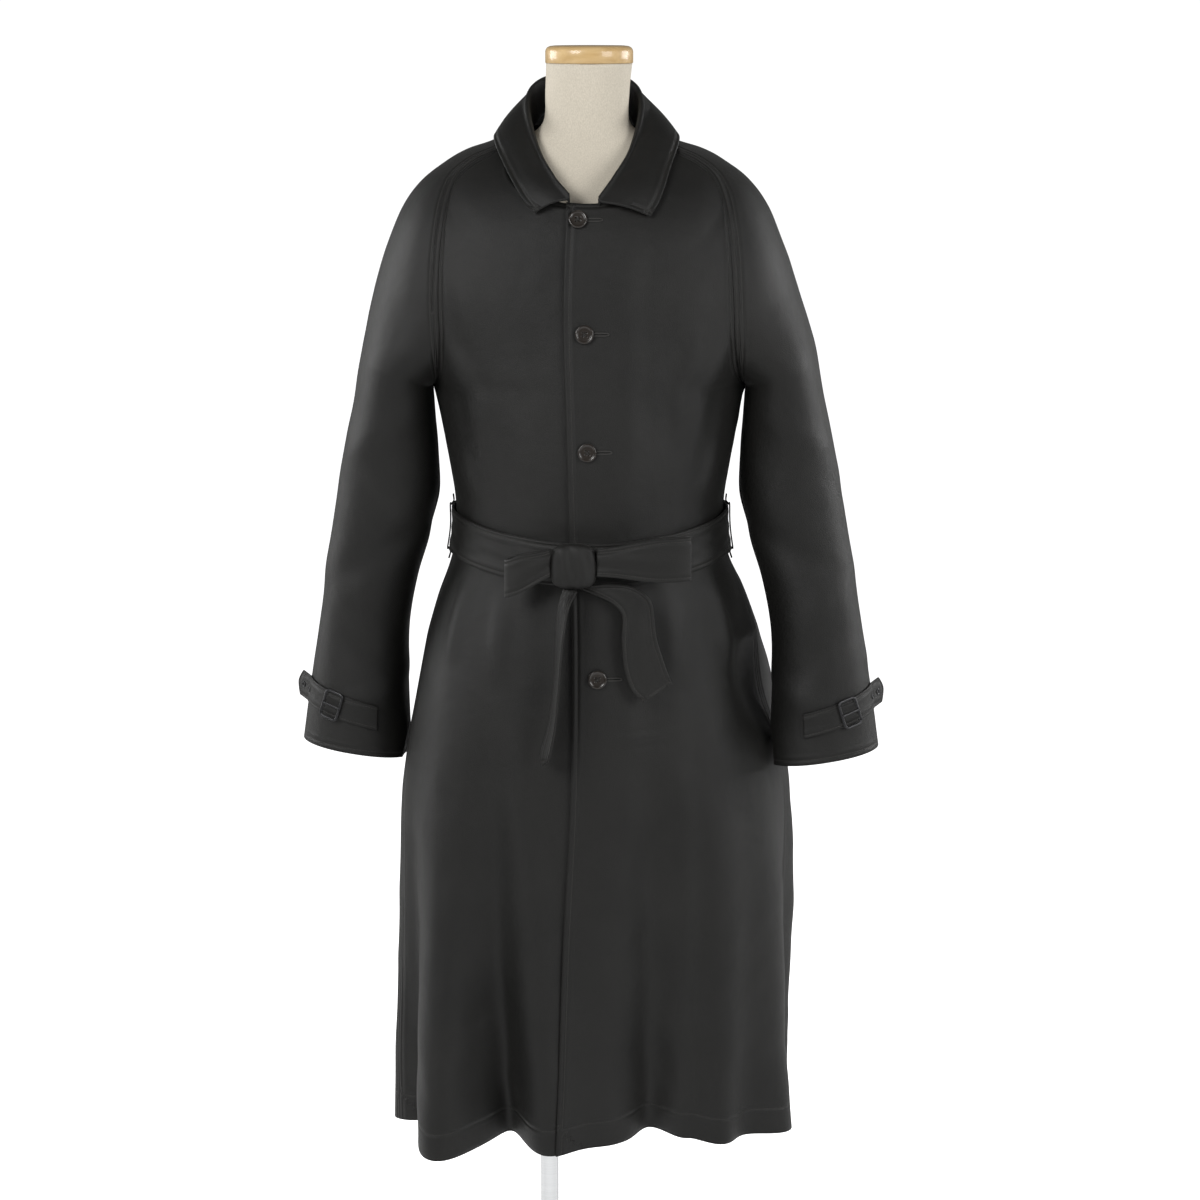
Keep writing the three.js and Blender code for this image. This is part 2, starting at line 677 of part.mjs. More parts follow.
add('front_left', slab(frontLeft, nFL, CLOTH), COAT);
add('front_right', slab(frontRight, nFR, CLOTH), COAT);
add('back', slab(back, nB, CLOTH), COAT);
add('sleeve_left', slab(sleeveLeft, nSL, CLOTH), COAT);
add('sleeve_right', slab(sleeveRight, nSR, CLOTH), COAT);

// ---- collar --------------------------------------------------------------------------
// The neckline in order, from the right front round the back to the left front.
const topRow = (grid, turned) => {
  const r = grid.length - 1;
  const list = grid[r].map((p, j) => {
    const up = p.clone().sub(grid[r - 1][j]).normalize();
    const inward = V(NECK_X - p.x, -p.y, 0).normalize();
    return p.clone().addScaledVector(up, 4.4).addScaledVector(inward, CLOTH + 1.8);
  });
  return turned ? list.reverse() : list;
};
// The necklines of the two halves, each in order from its front to the middle of the back.
const backTop = topRow(back, false);
const middleBack = Math.floor(backTop.length / 2);
const necklines = {
  right: [...topRow(frontRight, false), ...topRow(sleeveRight, false),
    ...backTop.slice(middleBack).reverse()],
  left: [...topRow(frontLeft, false), ...topRow(sleeveLeft, false),
    ...backTop.slice(0, middleBack + 1)],
};

// Neckline point in the same direction from the neck's axis as a given point.
function neckUnder(p, round) {
  const list = round < 0 ? necklines.right : necklines.left;
  const bearing = (q) => {
    const a = Math.atan2(Math.sign(round || 1) * (q.x - NECK_X), -q.y);
    return a < -Math.PI / 2 ? a + 2 * Math.PI : a;
  };
  const want = Math.min(bearing(p), bearing(list[list.length - 1]));
  for (let i = 0; i < list.length - 1; i += 1) {
    const [lo, hi] = [bearing(list[i]), bearing(list[i + 1])];
    if (want >= lo && want <= hi && hi > lo) {
      return list[i].clone().lerp(list[i + 1], (want - lo) / (hi - lo));
    }
  }
  return list[list.length - 1].clone();
}

// Lifts a point of the collar's leaf off the cloth under it.
function offShoulder(p, clear) {
  const angle = angleOf(p.x, p.y, p.z);
  const n = ringNormal(angle, p.z);
  const depth = p.clone().sub(trunk(angle, p.z)).dot(n);
  return depth < clear ? p.addScaledVector(n, clear - depth) : p;
}

const COLLAR_COLUMNS = spread(24).map((t) => 2 * t - 1);
function collarColumn(round) {
  const row = look(COLLAR, round);
  const fold = V(row[0], row[1], row[2]);
  const seam = neckUnder(fold, round);
  const edge = V(row[3], row[4], row[5]);
  const front = smooth((Math.abs(round) - 0.55) / 0.2);
  edge.y = mix(edge.y, trunk(frontAngle(edge.x, edge.z), edge.z, COLLAR_LIFT).y, front);
  const out = V(fold.x + 4, fold.y, 0).normalize();
  const roll = fold.clone().addScaledVector(out, 7).add(V(0, 0, -5));
  const leaf = (t) => roll.clone().lerp(edge, t)
    .addScaledVector(out, 2.5 * Math.sin(Math.PI * t)).add(V(0, 0, 3 * Math.sin(Math.PI * t)));
  return [
    seam,
    seam.clone().lerp(fold, 0.5),
    fold.clone().add(V(0, 0, -4)),
    fold.clone().addScaledVector(out, 3.5),
    ...[roll, leaf(0.35), leaf(0.7), edge].map((p) => offShoulder(p, COLLAR_LIFT)),
  ];
}
const collarColumns = COLLAR_COLUMNS.map(collarColumn);
const collar = collarColumns[0].map((_, i) => collarColumns.map((c) => c[i]));
const nC = gridNormals(collar);
settle(collar.slice(5), nC.slice(5), () => V(0, 0, 1400));
if (nC[7][12].y < 0) nC.forEach((row) => row.forEach((n) => n.negate()));
add('collar', slab(collar, nC, CLOTH), COAT);

// ---- belt ----------------------------------------------------------------------------
const beltMiddle = (angle) => 1010 - 22 * Math.max(0, Math.cos(angle)) ** 2;
const BELT_LIFT = BELT_CLEAR + BELT_CLOTH + 1.8;
const beltPoint = (angle, across, lift) => {
  const z = beltMiddle(angle) + across * BELT_WIDTH / 2;
  const p = ring(angle, z);
  const over = p.y < 0 ? overlapLift(p.x) * smooth((p.x + 90) / 50) : 0;
  return p.addScaledVector(ringNormal(angle, z), lift + over);
};
const beltColumns = spread(36).map((t) => mix(KNOT_X / 152 + 0.002, KNOT_X / 152 + 2 * Math.PI - 0.002, t));
const belt = [-1, 0, 1].map((across) => beltColumns.map((a) => beltPoint(a, across, BELT_LIFT)));
const nBelt = gridNormals(belt);
settle(belt, nBelt, trunkAxis);
add('belt_band', slab(belt, nBelt, BELT_CLOTH), COAT);

// Knot: a cushion-like block of cloth in front of the belt.
function cushion(middle, rx, ry, rz, power) {
  const g = new THREE.SphereGeometry(1, 16, 10);
  const at = g.getAttribute('position');
  const bend = (v) => Math.sign(v) * Math.abs(v) ** power;
  for (let i = 0; i < at.count; i += 1) {
    at.setXYZ(i, middle.x + rx * bend(at.getX(i)), middle.y + ry * bend(at.getY(i)),
      middle.z + rz * bend(at.getZ(i)));
  }
  return g;
}
const knotY = beltPoint(KNOT_X / 152, 0, BELT_LIFT).y - KNOT_DEEP - 1.2;
const knot = V(KNOT_X, knotY, beltMiddle(0) + 2);
add('belt_knot', cushion(knot, KNOT_HALF, KNOT_DEEP, KNOT_HALF, 0.6), COAT);

// A bow loop: a strip that leaves the knot, turns at its tip and comes back.
function bowLoop(side, reach, droop, flare, bulge) {
  const start = knot.x + side * (KNOT_HALF + 0.5);
  const turn = spread(20).map((t) => 2 * t - 1);
  const rows = [-1, 0, 1].map((across) => turn.map((t) => {
    const along = 1 - Math.abs(t) ** 1.0;
    const out = Math.sin(along * Math.PI / 2) ** 1.0;
    const gap = Math.sign(t) * bulge * (0.45 + 0.55 * Math.sin(Math.PI * Math.min(1, along * 1.0)))
      * Math.sqrt(Math.max(0, 1 - out ** 6));
    const half = mix(15, flare, smooth(out * 1.3));
    const x = start + side * reach * out;
    const z = knot.z + 4 + droop * out + across * half;
    return V(x, knot.y - 3 + gap, z);
  }));
  const normals = gridNormals(rows);
  const vote = normals[1][5].y * Math.sign(rows[1][5].y - knot.y + 3);
  if (vote < 0) normals.forEach((row) => row.forEach((n) => n.negate()));
  return slab(rows, normals, TAIL_CLOTH);
}
add('bow_loop_right', bowLoop(-1, 50, -18, 21, 8.5), COAT);
add('bow_loop_left', bowLoop(1, 103, 4, 24, 8.5), COAT);

// Hanging tails: two edges by row.
const TAIL_LEFT = [
  // x   y    z    x   y    z
  [-10, -170, 965.4, 0, -171, 965.6],
  [8, -170, 957, 18, -171, 968],
  [22, -171, 950, 42, -172, 967],
  [32, -171, 941, 60, -173, 958],
  [36, -171, 930, 68, -173, 945],
  [35, -173, 905, 72, -176, 912],
  [38, -174, 875, 80, -178, 885],
  [46, -174, 852, 86, -178, 868],
  [60, -174, 838, 90, -177, 859],
];
const TAIL_RIGHT = [
  [-29, -168, 964.2, -15, -183, 964.2],
  [-35, -168, 945, -25, -194, 945],
  [-38, -169, 910, -31, -203, 910],
  [-40, -171, 862, -35, -207, 862],
  [-46, -172, 815, -39, -206, 818],
  [-55, -173, 780, -45, -202, 786],
  [-53, -178, 768, -48, -194, 775],
];
function tail(rows) {
  const grid = rows.map((r) => spread(2).map((t) => V(
    mix(r[0], r[3], t), mix(r[1], r[4], t) + 0, mix(r[2], r[5], t),
  )));
  const normals = gridNormals(grid);
  return slab(grid, normals, TAIL_CLOTH);
}
add('belt_tail_left', tail(TAIL_LEFT), COAT);
add('belt_tail_right', tail(TAIL_RIGHT), COAT);

// Belt loops at the side seams.
const LOOP_ROWS = [
  // height from the belt's middle, lift of the outer face
  [37, 3.2], [30, 3.2], [27, 5.5], [25, 7.8], [0, 7.9], [-25, 7.8], [-27, 5.5], [-30, 3.4], [-37, 3.4],
];
for (const side of [-1, 1]) {
  const middle = side * 87 * DEG;
  const grid = LOOP_ROWS.map(([dz, lift]) => [-1, 1].map((w) => {
    const angle = middle + w * 1.8 * DEG;
    const z = beltMiddle(middle) + dz;
    return ring(angle, z).addScaledVector(ringNormal(angle, z), lift);
  }));
  const normals = gridNormals(grid);
  settle(grid, normals, trunkAxis);
  add(side > 0 ? 'belt_loop_left' : 'belt_loop_right', slab(grid, normals, 1.6), COAT);
}

// ---- cuff straps and buckles ---------------------------------------------------------
// The outward direction of the sleeve at a place on it.
function sleeveNormal(side, share, round) {
  const a = sleevePoint(side, share, null, round + 0.02).sub(sleevePoint(side, share, null, round - 0.02));
  const b = sleevePoint(side, share + 0.02, null, round).sub(sleevePoint(side, share - 0.02, null, round));
  return a.cross(b).normalize().multiplyScalar(side > 0 ? 1 : -1);
}
const STRAP_FROM = -0.63;
const STRAP_TO = -0.1;
const strapShare = (round) => mix(0.098, 0.135, (round - STRAP_FROM) / (STRAP_TO - STRAP_FROM));
for (const side of [-1, 1]) {
  const word = side > 0 ? 'left' : 'right';
  const place = (round, across, lift) => {
    const share = strapShare(round) + across * STRAP_WIDTH / 2 / 452;
    const p = sleevePoint(side, share, null, round);
    const axisSign = Math.sign(sleeveNormal(side, share, round).dot(
      p.clone().sub(V(side * 265, p.y * 0 + look(ARM_BACK, share)[side > 0 ? 1 : 0], p.z))));
    return p.addScaledVector(sleeveNormal(side, share, round).multiplyScalar(axisSign), lift);
  };
  const strap = [-1, 0, 1].map((across) => {
    const row = spread(10).map((t) => place(mix(STRAP_FROM, STRAP_TO, t), across, STRAP_LIFT));
    const end = row[10];
    const way = end.clone().sub(row[9]).normalize().add(V(side * 0.5, 0.1, 0.1)).normalize();
    row.push(end.clone().addScaledVector(way, 9));
    row.push(end.clone().addScaledVector(way, across === 0 ? 24 : 17));
    return row;
  });
  const nStrap = gridNormals(strap);
  const middle = V(side * 265, 0, 800);
  settle(strap, nStrap, () => middle);
  add('cuff_strap_' + word, slab(strap, nStrap, STRAP_CLOTH), COAT);

  const seat = mix(STRAP_FROM, STRAP_TO, 0.52);
  const centre = place(seat, 0, STRAP_LIFT + 0.3);
  const n = centre.clone().sub(place(seat, 0, 0)).normalize();
  const u = place(seat + 0.05, 0, 0).sub(place(seat - 0.05, 0, 0)).normalize();
  const w = n.clone().cross(u).normalize();
  const turn = new THREE.Matrix4().makeBasis(u, w, n).setPosition(centre);
  const outline = new THREE.Shape();
  const [hx, hy, c] = [BUCKLE_W / 2, BUCKLE_H / 2, 5];
  outline.moveTo(-hx + c, -hy).lineTo(hx - c, -hy).absarc(hx - c, -hy + c, c, -Math.PI / 2, 0)
    .lineTo(hx, hy - c).absarc(hx - c, hy - c, c, 0, Math.PI / 2)
    .lineTo(-hx + c, hy).absarc(-hx + c, hy - c, c, Math.PI / 2, Math.PI)
    .lineTo(-hx, -hy + c).absarc(-hx + c, -hy + c, c, Math.PI, 1.5 * Math.PI);
  const [ix, iy] = [hx - BUCKLE_BAR, hy - BUCKLE_BAR];
  const hole = new THREE.Path();
  hole.moveTo(-ix, -iy).lineTo(-ix, iy).lineTo(ix, iy).lineTo(ix, -iy).lineTo(-ix, -iy);
  outline.holes.push(hole);
  const frame = new THREE.ExtrudeGeometry(outline, { depth: 2.4, bevelEnabled: false, curveSegments: 4 });
  add('cuff_buckle_' + word, frame.applyMatrix4(turn), BLACK_METAL);
  const prong = new THREE.BoxGeometry(BUCKLE_W - 3, 2.2, 1.8);
  prong.translate(0.5, 0, 2.4 + 0.3 + 0.9);
  add('cuff_prong_' + word, prong.applyMatrix4(turn), BLACK_METAL);
}

// ---- buttons -------------------------------------------------------------------------
// A closed mesh as a manifold-3d solid, and back.
function toSolid(geometry) {
  const g = geometry.clone();
  g.deleteAttribute('normal');
  g.deleteAttribute('uv');
  const merged = mergeVertices(g, 1e-3);
  return new Manifold(new SolidMesh({
    numProp: 3,
    vertProperties: merged.attributes.position.array,
    triVerts: new Uint32Array(merged.index.array),
  }));
}
function toGeometry(solid) {
  const mesh = solid.getMesh();
  const g = new THREE.BufferGeometry();
  g.setAttribute('position', new THREE.BufferAttribute(new Float32Array(mesh.vertProperties), 3));
  g.setIndex(new THREE.BufferAttribute(new Uint32Array(mesh.triVerts), 1));
  g.computeVertexNormals();
  return g;
}
// Button: a dished disc with a raised rim and four holes; its back lies at y = 0.
function buttonGeometry() {
  const profile = [
    [0, 0], [BUTTON_R - 1.2, 0], [BUTTON_R, 1.2], [BUTTON_R, 2.2], [BUTTON_R - 1, BUTTON_T],
    [BUTTON_R - 2.4, BUTTON_T], [BUTTON_R - 3.4, 2.2], [0, 2.2],
  ].map(([r, h]) => new THREE.Vector2(r, h));
  let solid = toSolid(new THREE.LatheGeometry(profile, 16));
  for (const [sx, sy] of [[1, 1], [1, -1], [-1, 1], [-1, -1]]) {
    const drill = new THREE.CylinderGeometry(0.9, 0.9, 12, 6).translate(sx * 1.9, 0, sy * 1.9);
    solid = solid.subtract(toSolid(drill));
  }
  return toGeometry(solid);
}
BUTTONS.forEach(([x, z], i) => {
  const angle = frontAngle(x, z);
  const n = ringNormal(angle, z);
  const p = trunk(angle, z, OVERLAP_LIFT + 0.5);
  const mesh = add('button_' + (i + 1), buttonGeometry(), HORN);
  mesh.position.copy(p);
  mesh.quaternion.setFromUnitVectors(V(0, 1, 0), n);
});

// ---- dress form ----------------------------------------------------------------------
const FORM = [
  // height half width, half depth, middle x, middle y
  [775, 118, 84, 0, -8],
  [790, 136, 98, 0, -8],
  [840, 148, 106, 0, -8],
  [900, 148, 106, 0, -8],
  [960, 138, 98, 0, -10],
  [1025, 126, 92, 0, -12],
  [1090, 134, 100, 0, -12],
  [1160, 146, 108, -1, -10],
  [1230, 156, 108, -2, -9],
  [1300, 168, 102, -3, -6],
  [1350, 172, 92, -4, -4],
  [1386, 164, 78, -4, 0],
  [1407, 146, 66, -4, 4],
  [1423, 118, 58, -4, 6],
  [1437, 82, 52, -4, 6],
  [1450, 59, 49, -4, 4],
  [1466, 48, 46, -4, 2],
  [1500, 47, 46, -3, 0],
  [1530, 48, 47, -1, -3],
];
const formRings = spread(30).map((t) => mix(FORM[0][0], FORM[FORM.length - 1][0], t));
function tube(rings, segments) {
  const positions = [];
  const index = [];
  rings.forEach((z) => {
    const [wide, deep, x, y] = look(FORM, z);
    const rise = FORM_RISE * Math.sin(Math.PI * clamp((z - 1340) / 130, 0, 1));
    spread(segments).slice(0, -1).forEach((t) => {
      const a = t * 2 * Math.PI;
      const [c, s] = [Math.cos(a), Math.sin(a)];
      const r = (Math.abs(c) ** 2.2 + Math.abs(s) ** 2.2) ** (-1 / 2.2);
      positions.push(x + wide * c * r, y + deep * s * r, z + rise);
    });
  });
  const n = segments;
  for (let i = 0; i < rings.length - 1; i += 1) {
    for (let j = 0; j < n; j += 1) {
      const [a, b] = [i * n + j, i * n + (j + 1) % n];
      index.push(a, b, b + n, a, b + n, a + n);
    }
  }
  const top = (rings.length - 1) * n;
  for (let j = 1; j < n - 1; j += 1) {
    index.push(0, j + 1, j);
    index.push(top, top + j, top + j + 1);
  }
  return outward(positions, index);
}
add('form_torso', tube(formRings, 32), LINEN);

const capProfile = [[0, 0], [CAP_R, 0], [CAP_R, 14], [CAP_R - 1.5, 17], [CAP_R - 5, 19], [0, 20]]
  .map(([r, h]) => new THREE.Vector2(r, h));
const cap = add('form_cap', new THREE.LatheGeometry(capProfile, 28), WOOD);
cap.rotation.x = Math.PI / 2 + CAP_LEAN;
cap.position.set(-1, -3, FORM[FORM.length - 1][0] + CAP_SEAT);

const poleTop = FORM[0][0] - 0.3;
const poleLength = poleTop - BASE_T - 0.3;
const pole = add('pole', new THREE.CylinderGeometry(POLE_R, POLE_R, poleLength, 32), CHROME);
pole.rotation.x = Math.PI / 2;
pole.position.set(POLE_X, 0, BASE_T + 0.3 + poleLength / 2);

const baseProfile = [[0, 0], [BASE_R, 0], [BASE_R, BASE_T - 3], [BASE_R - 4, BASE_T], [0, BASE_T]]
  .map(([r, h]) => new THREE.Vector2(r, h));
const base = add('base', new THREE.LatheGeometry(baseProfile, 36), CHROME);
base.rotation.x = Math.PI / 2;

export default group;
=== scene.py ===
# %% [markdown]
# # Shepherd coat on a dress form
# A black raglan coat hangs on a limbless linen-covered form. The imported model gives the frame:
# every new piece is worked out in the same axes, with Z up, -Y the front and X+ the wearer's left.

# %% Load the frame
import math
import bpy
import numpy as np
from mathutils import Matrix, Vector


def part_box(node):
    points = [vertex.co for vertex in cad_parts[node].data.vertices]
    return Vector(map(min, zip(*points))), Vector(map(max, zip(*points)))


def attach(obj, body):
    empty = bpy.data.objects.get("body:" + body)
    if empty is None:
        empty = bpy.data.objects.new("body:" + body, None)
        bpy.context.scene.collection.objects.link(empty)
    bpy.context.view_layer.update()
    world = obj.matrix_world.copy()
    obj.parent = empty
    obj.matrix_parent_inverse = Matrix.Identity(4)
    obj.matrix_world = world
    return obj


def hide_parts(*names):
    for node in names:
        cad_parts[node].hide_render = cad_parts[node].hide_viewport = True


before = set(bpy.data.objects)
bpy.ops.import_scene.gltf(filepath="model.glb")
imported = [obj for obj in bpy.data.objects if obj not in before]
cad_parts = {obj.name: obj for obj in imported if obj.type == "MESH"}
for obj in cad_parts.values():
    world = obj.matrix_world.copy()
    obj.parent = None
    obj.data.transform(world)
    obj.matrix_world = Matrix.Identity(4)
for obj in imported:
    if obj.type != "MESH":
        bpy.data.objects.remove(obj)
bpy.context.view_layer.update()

MM = 0.001
print("frame holds", len(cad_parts), "nodes")

# %% [markdown]
# ## Tables of the coat
# A coat is drafted from a few girths and lengths. Each table below has one row for a height or a
# share of a seam, and a smooth curve runs through the rows, as a maker's curve does.

# %% Trunk, fold and crease tables, in millimetres and degrees
CLOTH = 2.0
HEM_Z = 318.0
UNDERARM_Z = 1172.0
NECK_Z = 1379.0
NECK_X = -4.0
OVERLAP_LIFT = 3.6
UNDERLAP_X = 36.0
# height, middle x, half width on the wearer's right and left, depth front and back, flank y right and left
TRUNK = np.array([
    [300, 0, 220, 220, 132, 150, -10, 42],
    [400, 0, 221, 223, 142, 150, -12, 42],
    [500, 0, 218, 229, 150, 150, -15, 42],
    [600, 0, 216, 233, 157, 148, -22, 42],
    [700, 0, 214, 230, 161, 145, -28, 42],
    [800, 0, 203, 217, 162, 141, -28, 38],
    [880, 0, 188, 196, 159, 136, -18, 25],
    [930, 0, 174, 178, 155, 130, -8, 12],
    [975, 0, 158, 158, 150, 122, 0, 2],
    [1010, 0, 152, 152, 148, 119, 0, 0],
    [1045, 0, 153, 152, 149, 119, 0, 0],
    [1090, 0, 160, 159, 150, 122, -3, -3],
    [1135, -1, 167, 166, 148, 123, -7, -7],
    [1172, -2, 177, 175, 145, 123, -10, -10],
    [1195, -2, 196, 194, 143, 122, -8, -8],
    [1232, -3, 214, 212, 139, 119, -4, -4],
    [1290, -4, 226, 224, 133, 113, 0, 0],
    [1340, -4, 222, 220, 123, 104, 2, 2],
    [1373, -4, 207, 205, 110, 95, 4, 4],
    [1401, -4, 182, 180, 93, 84, 6, 6],
    [1423, -4, 152, 150, 72, 76, 8, 8],
    [1442, -4, 110, 108, 50, 66, 8, 8],
    [1456, -4, 82, 80, 34, 60, 8, 8],
    [1475, -4, 66, 64, 30, 56, 8, 8],
], float)
# angle at the top and at the hem, half width, how far out at the hem, height it starts from
FOLDS = [
    (-45, -42, 12, 56, 960), (-31, -26, 7, -40, 900), (-27, -12, 8, 24, 950), (15, 20, 9, -40, 900),
    (26, 27, 4.5, 10, 900), (31, 31.5, 3, -8, 880), (38, 38, 7, 20, 920), (47, 60, 11, 36, 900),
    (-66, -68, 8, -22, 900), (-86, -86, 8, 8, 860), (79, 80, 8, -24, 900), (98, 98, 9, 14, 900),
    (118, 116, 8, -20, 900), (137, 135, 9, 30, 940), (154, 153, 8, -24, 900), (171, 171, 9, 26, 950),
    (190, 190, 8, -26, 900), (209, 210, 9, 28, 940), (229, 230, 8, -22, 900), (250, 250, 9, 16, 900),
]
# angle and height at each end, half width in degrees, how far out
CREASES = [
    (-47, 1330, -42, 1060, 5, 5), (-36, 1330, -33, 1200, 4, 3), (45, 1310, 41, 1070, 5, 5),
    (33, 1260, 36, 1100, 4, 3), (-58, 1120, -50, 1050, 5, 4), (56, 1130, 50, 1050, 5, 4),
    (135, 1320, 142, 1070, 6, 5), (225, 1320, 218, 1070, 6, 5), (176, 1260, 180, 1060, 6, -4),
    (-52, 968, -52, 860, 5, 6), (-34, 966, -30, 840, 4, 5), (30, 968, 28, 840, 5, 6),
    (52, 968, 50, 850, 4, 5), (110, 975, 112, 860, 6, 6), (150, 975, 148, 850, 6, 6),
    (205, 975, 206, 850, 6, 6), (245, 975, 246, 860, 6, 6), (66, 900, 70, 760, 16, -26),
    (-108, 900, -106, 770, 16, -12), (10, 792, 22, 800, 7, 4),
]
# share from the neck (0) to the underarm (1), then x, y, z on the wearer's left
RAGLAN_FRONT = np.array([
    [0.0, 60, -28, 1451], [0.1, 100, -41, 1434], [0.2, 125, -49, 1422], [0.3, 142, -57, 1407],
    [0.4, 151, -70, 1386], [0.5, 157, -86, 1357], [0.6, 161, -98, 1318], [0.7, 163, -104, 1270],
    [0.8, 163, -100, 1228], [0.87, 165, -84, 1201], [0.94, 170, -48, 1181], [1.0, 176, -10, 1172],
], float)
RAGLAN_BACK = np.array([
    [0.0, 58, 50, 1460], [0.1, 92, 66, 1443], [0.2, 117, 76, 1425], [0.3, 137, 84, 1400],
    [0.4, 148, 92, 1366], [0.5, 156, 98, 1325], [0.6, 161, 101, 1282], [0.7, 163, 98, 1244],
    [0.8, 165, 86, 1214], [0.87, 168, 62, 1195], [0.94, 172, 26, 1179], [1.0, 176, -10, 1172],
], float)
SHOULDER = np.array([
    [0.0, 61, 12, 1464], [0.1, 102, 12, 1445], [0.2, 132, 12, 1435], [0.3, 158, 12, 1421],
    [0.4, 184, 10, 1401], [0.5, 206, 8, 1371], [0.6, 222, 5, 1332], [0.7, 235, 2, 1292],
    [0.8, 245, -2, 1256], [0.87, 250, -5, 1236], [0.94, 254, -8, 1220], [1.0, 257, -10, 1205],
], float)
# share up the arm, outer x and z, inner x and z, half depth
ARM = np.array([
    [0.0, 330, 762, 205, 742, 62], [0.1, 324, 805, 207, 789, 60], [0.2, 317, 852, 208, 838, 59],
    [0.32, 309, 908, 206, 898, 58], [0.44, 301, 960, 196, 952, 58], [0.55, 293, 1010, 182, 1004, 59],
    [0.66, 284, 1062, 171, 1052, 65], [0.77, 275, 1112, 171, 1100, 72], [0.89, 265, 1160, 174, 1140, 82],
    [1.0, 257, 1205, 176, 1172, 90],
], float)
ARM_BACK = np.array([[0, 20, -26], [0.3, 18, -22], [0.6, 4, -10], [0.8, -6, -9], [1, -10, -10]], float)
# share along the arm, angle round it, slant, width, how far out
ARM_CREASES = [
    (0.62, -120, 0.10, 0.05, 4), (0.50, -95, -0.08, 0.05, -4), (0.40, -60, 0.07, 0.05, 3),
    (0.24, -110, 0.06, 0.04, -3), (0.16, -120, -0.05, 0.035, 3), (0.56, 110, 0.08, 0.05, 4),
    (0.36, 90, -0.07, 0.05, -4), (0.80, -70, -0.10, 0.06, 3), (0.82, 80, 0.10, 0.06, 3),
]
FRONT_EDGE = np.array([[300, -39], [400, -35], [556, -30], [727, -22], [895, -20],
                       [1060, -24], [1169, -27], [1277, -29], [1400, -25]], float)
# round the neck from the right front (-1) to the left (1): fold x y z, outer edge x y z
COLLAR = np.array([
    [-1.0, -22, -111, 1391, -60, -136, 1371], [-0.86, -38, -93, 1410, -74, -121, 1386],
    [-0.7, -55, -54, 1440, -93, -78, 1417], [-0.5, -67, 2, 1487, -107, -14, 1452],
    [-0.25, -52, 56, 1512, -76, 86, 1453], [0.0, -6, 74, 1518, -6, 106, 1449],
    [0.25, 40, 56, 1512, 66, 86, 1453], [0.5, 54, 2, 1487, 99, -14, 1452],
    [0.7, 43, -54, 1440, 88, -80, 1416], [0.86, 25, -93, 1410, 77, -121, 1385],
    [1.0, 9, -113, 1388, 66, -138, 1367],
], float)


def look(table, at):
    """The table's columns at each value of its first: a cubic through the rows, sloped by neighbours."""
    at = np.clip(np.asarray(at, float), table[0, 0], table[-1, 0])
    n = len(table)
    i = np.clip(np.searchsorted(table[:, 0], at, side="right") - 1, 0, n - 2)
    p, q = table[i], table[i + 1]
    before, after = table[np.maximum(i - 1, 0)], table[np.minimum(i + 2, n - 1)]
    h = (q[..., 0] - p[..., 0])[..., None]
    t = ((at - p[..., 0])[..., None]) / h
    m0 = (q - before) / (q[..., :1] - before[..., :1])
    m1 = (after - p) / (after[..., :1] - p[..., :1])
    t2, t3 = t * t, t ** 3
    start = (2 * t3 - 3 * t2 + 1) * p + (t3 - 2 * t2 + t) * h * m0
    return (start + (3 * t2 - 2 * t3) * q + (t3 - t2) * h * m1)[..., 1:]


def smooth(t):
    """Eases from 0 to 1 while t goes from 0 to 1."""
    t = np.clip(t, 0, 1)
    return t * t * (3 - 2 * t)


def mix(a, b, t):
    """The value a share t of the way from a to b."""
    return a + (b - a) * t


print("tables:", len(TRUNK), "trunk rings,", len(FOLDS), "folds")

# %% [markdown]
# ## The trunk
# The body of the coat is one tube of squared ellipses. Folds are smooth ridges and valleys that
# grow from the waist to the hem, and creases are short ones. The cloth is a function of an angle
# round the body and a height, so whole arrays of points come out at once.

# %% The trunk's surface as a function
def unit(v):
    """Vectors of length one."""
    return v / np.maximum(np.linalg.norm(v, axis=-1, keepdims=True), 1e-9)


def ring_sizes(angle, z):
    """Middle, width, depth and flank of a ring: its sides and ends are blended by sine and cosine."""
    mid, right, left, front, back, y_r, y_l = np.moveaxis(look(TRUNK, z), -1, 0)
    s, c = np.sin(angle), np.cos(angle)
    wide = (left + right) / 2 + (left - right) / 2 * s
    deep = (front + back) / 2 + (front - back) / 2 * c
    flank = ((y_l + y_r) / 2 + (y_l - y_r) / 2 * s) * s * s
    return mid, wide, deep, flank


def ring(angle, z):
    """A squared ellipse: the ellipse's point times (|sin|^2.3 + |cos|^2.3)^(-1/2.3)."""
    angle, z = np.broadcast_arrays(np.asarray(angle, float), np.asarray(z, float))
    mid, wide, deep, flank = ring_sizes(angle, z)
    s, c = np.sin(angle), np.cos(angle)
    r = (np.abs(s) ** 2.3 + np.abs(c) ** 2.3) ** (-1 / 2.3)
    return np.stack([mid + wide * s * r, flank - deep * c * r, z], -1)


def relief(angle, z):
    """Sum of the folds, each a bell curve over the angle that grows downwards, and of the creases."""
    deg = np.degrees(angle)
    out = np.zeros(np.broadcast(deg, z).shape)
    for top, hem, wide, amount, start in FOLDS:
        down = np.clip((start - z) / (start - HEM_Z), 0, 1.05)
        off = deg - mix(top, hem, down)
        off = (off - 360 * np.round(off / 360)) / wide
        out = out + amount * down ** 1.5 * np.exp(-off * off)
    for a0, z0, a1, z1, wide, amount in CREASES:
        t = np.clip((z - z0) / (z1 - z0), 0, 1)
        past = (z - mix(z0, z1, t)) / 30
        off = deg - mix(a0, a1, t)
        off = (off - 360 * np.round(off / 360)) / wide
        fade = np.sin(np.pi * np.clip(t, 0.06, 0.94))
        out = out + amount * fade * np.exp(-off * off - past * past)
    return out


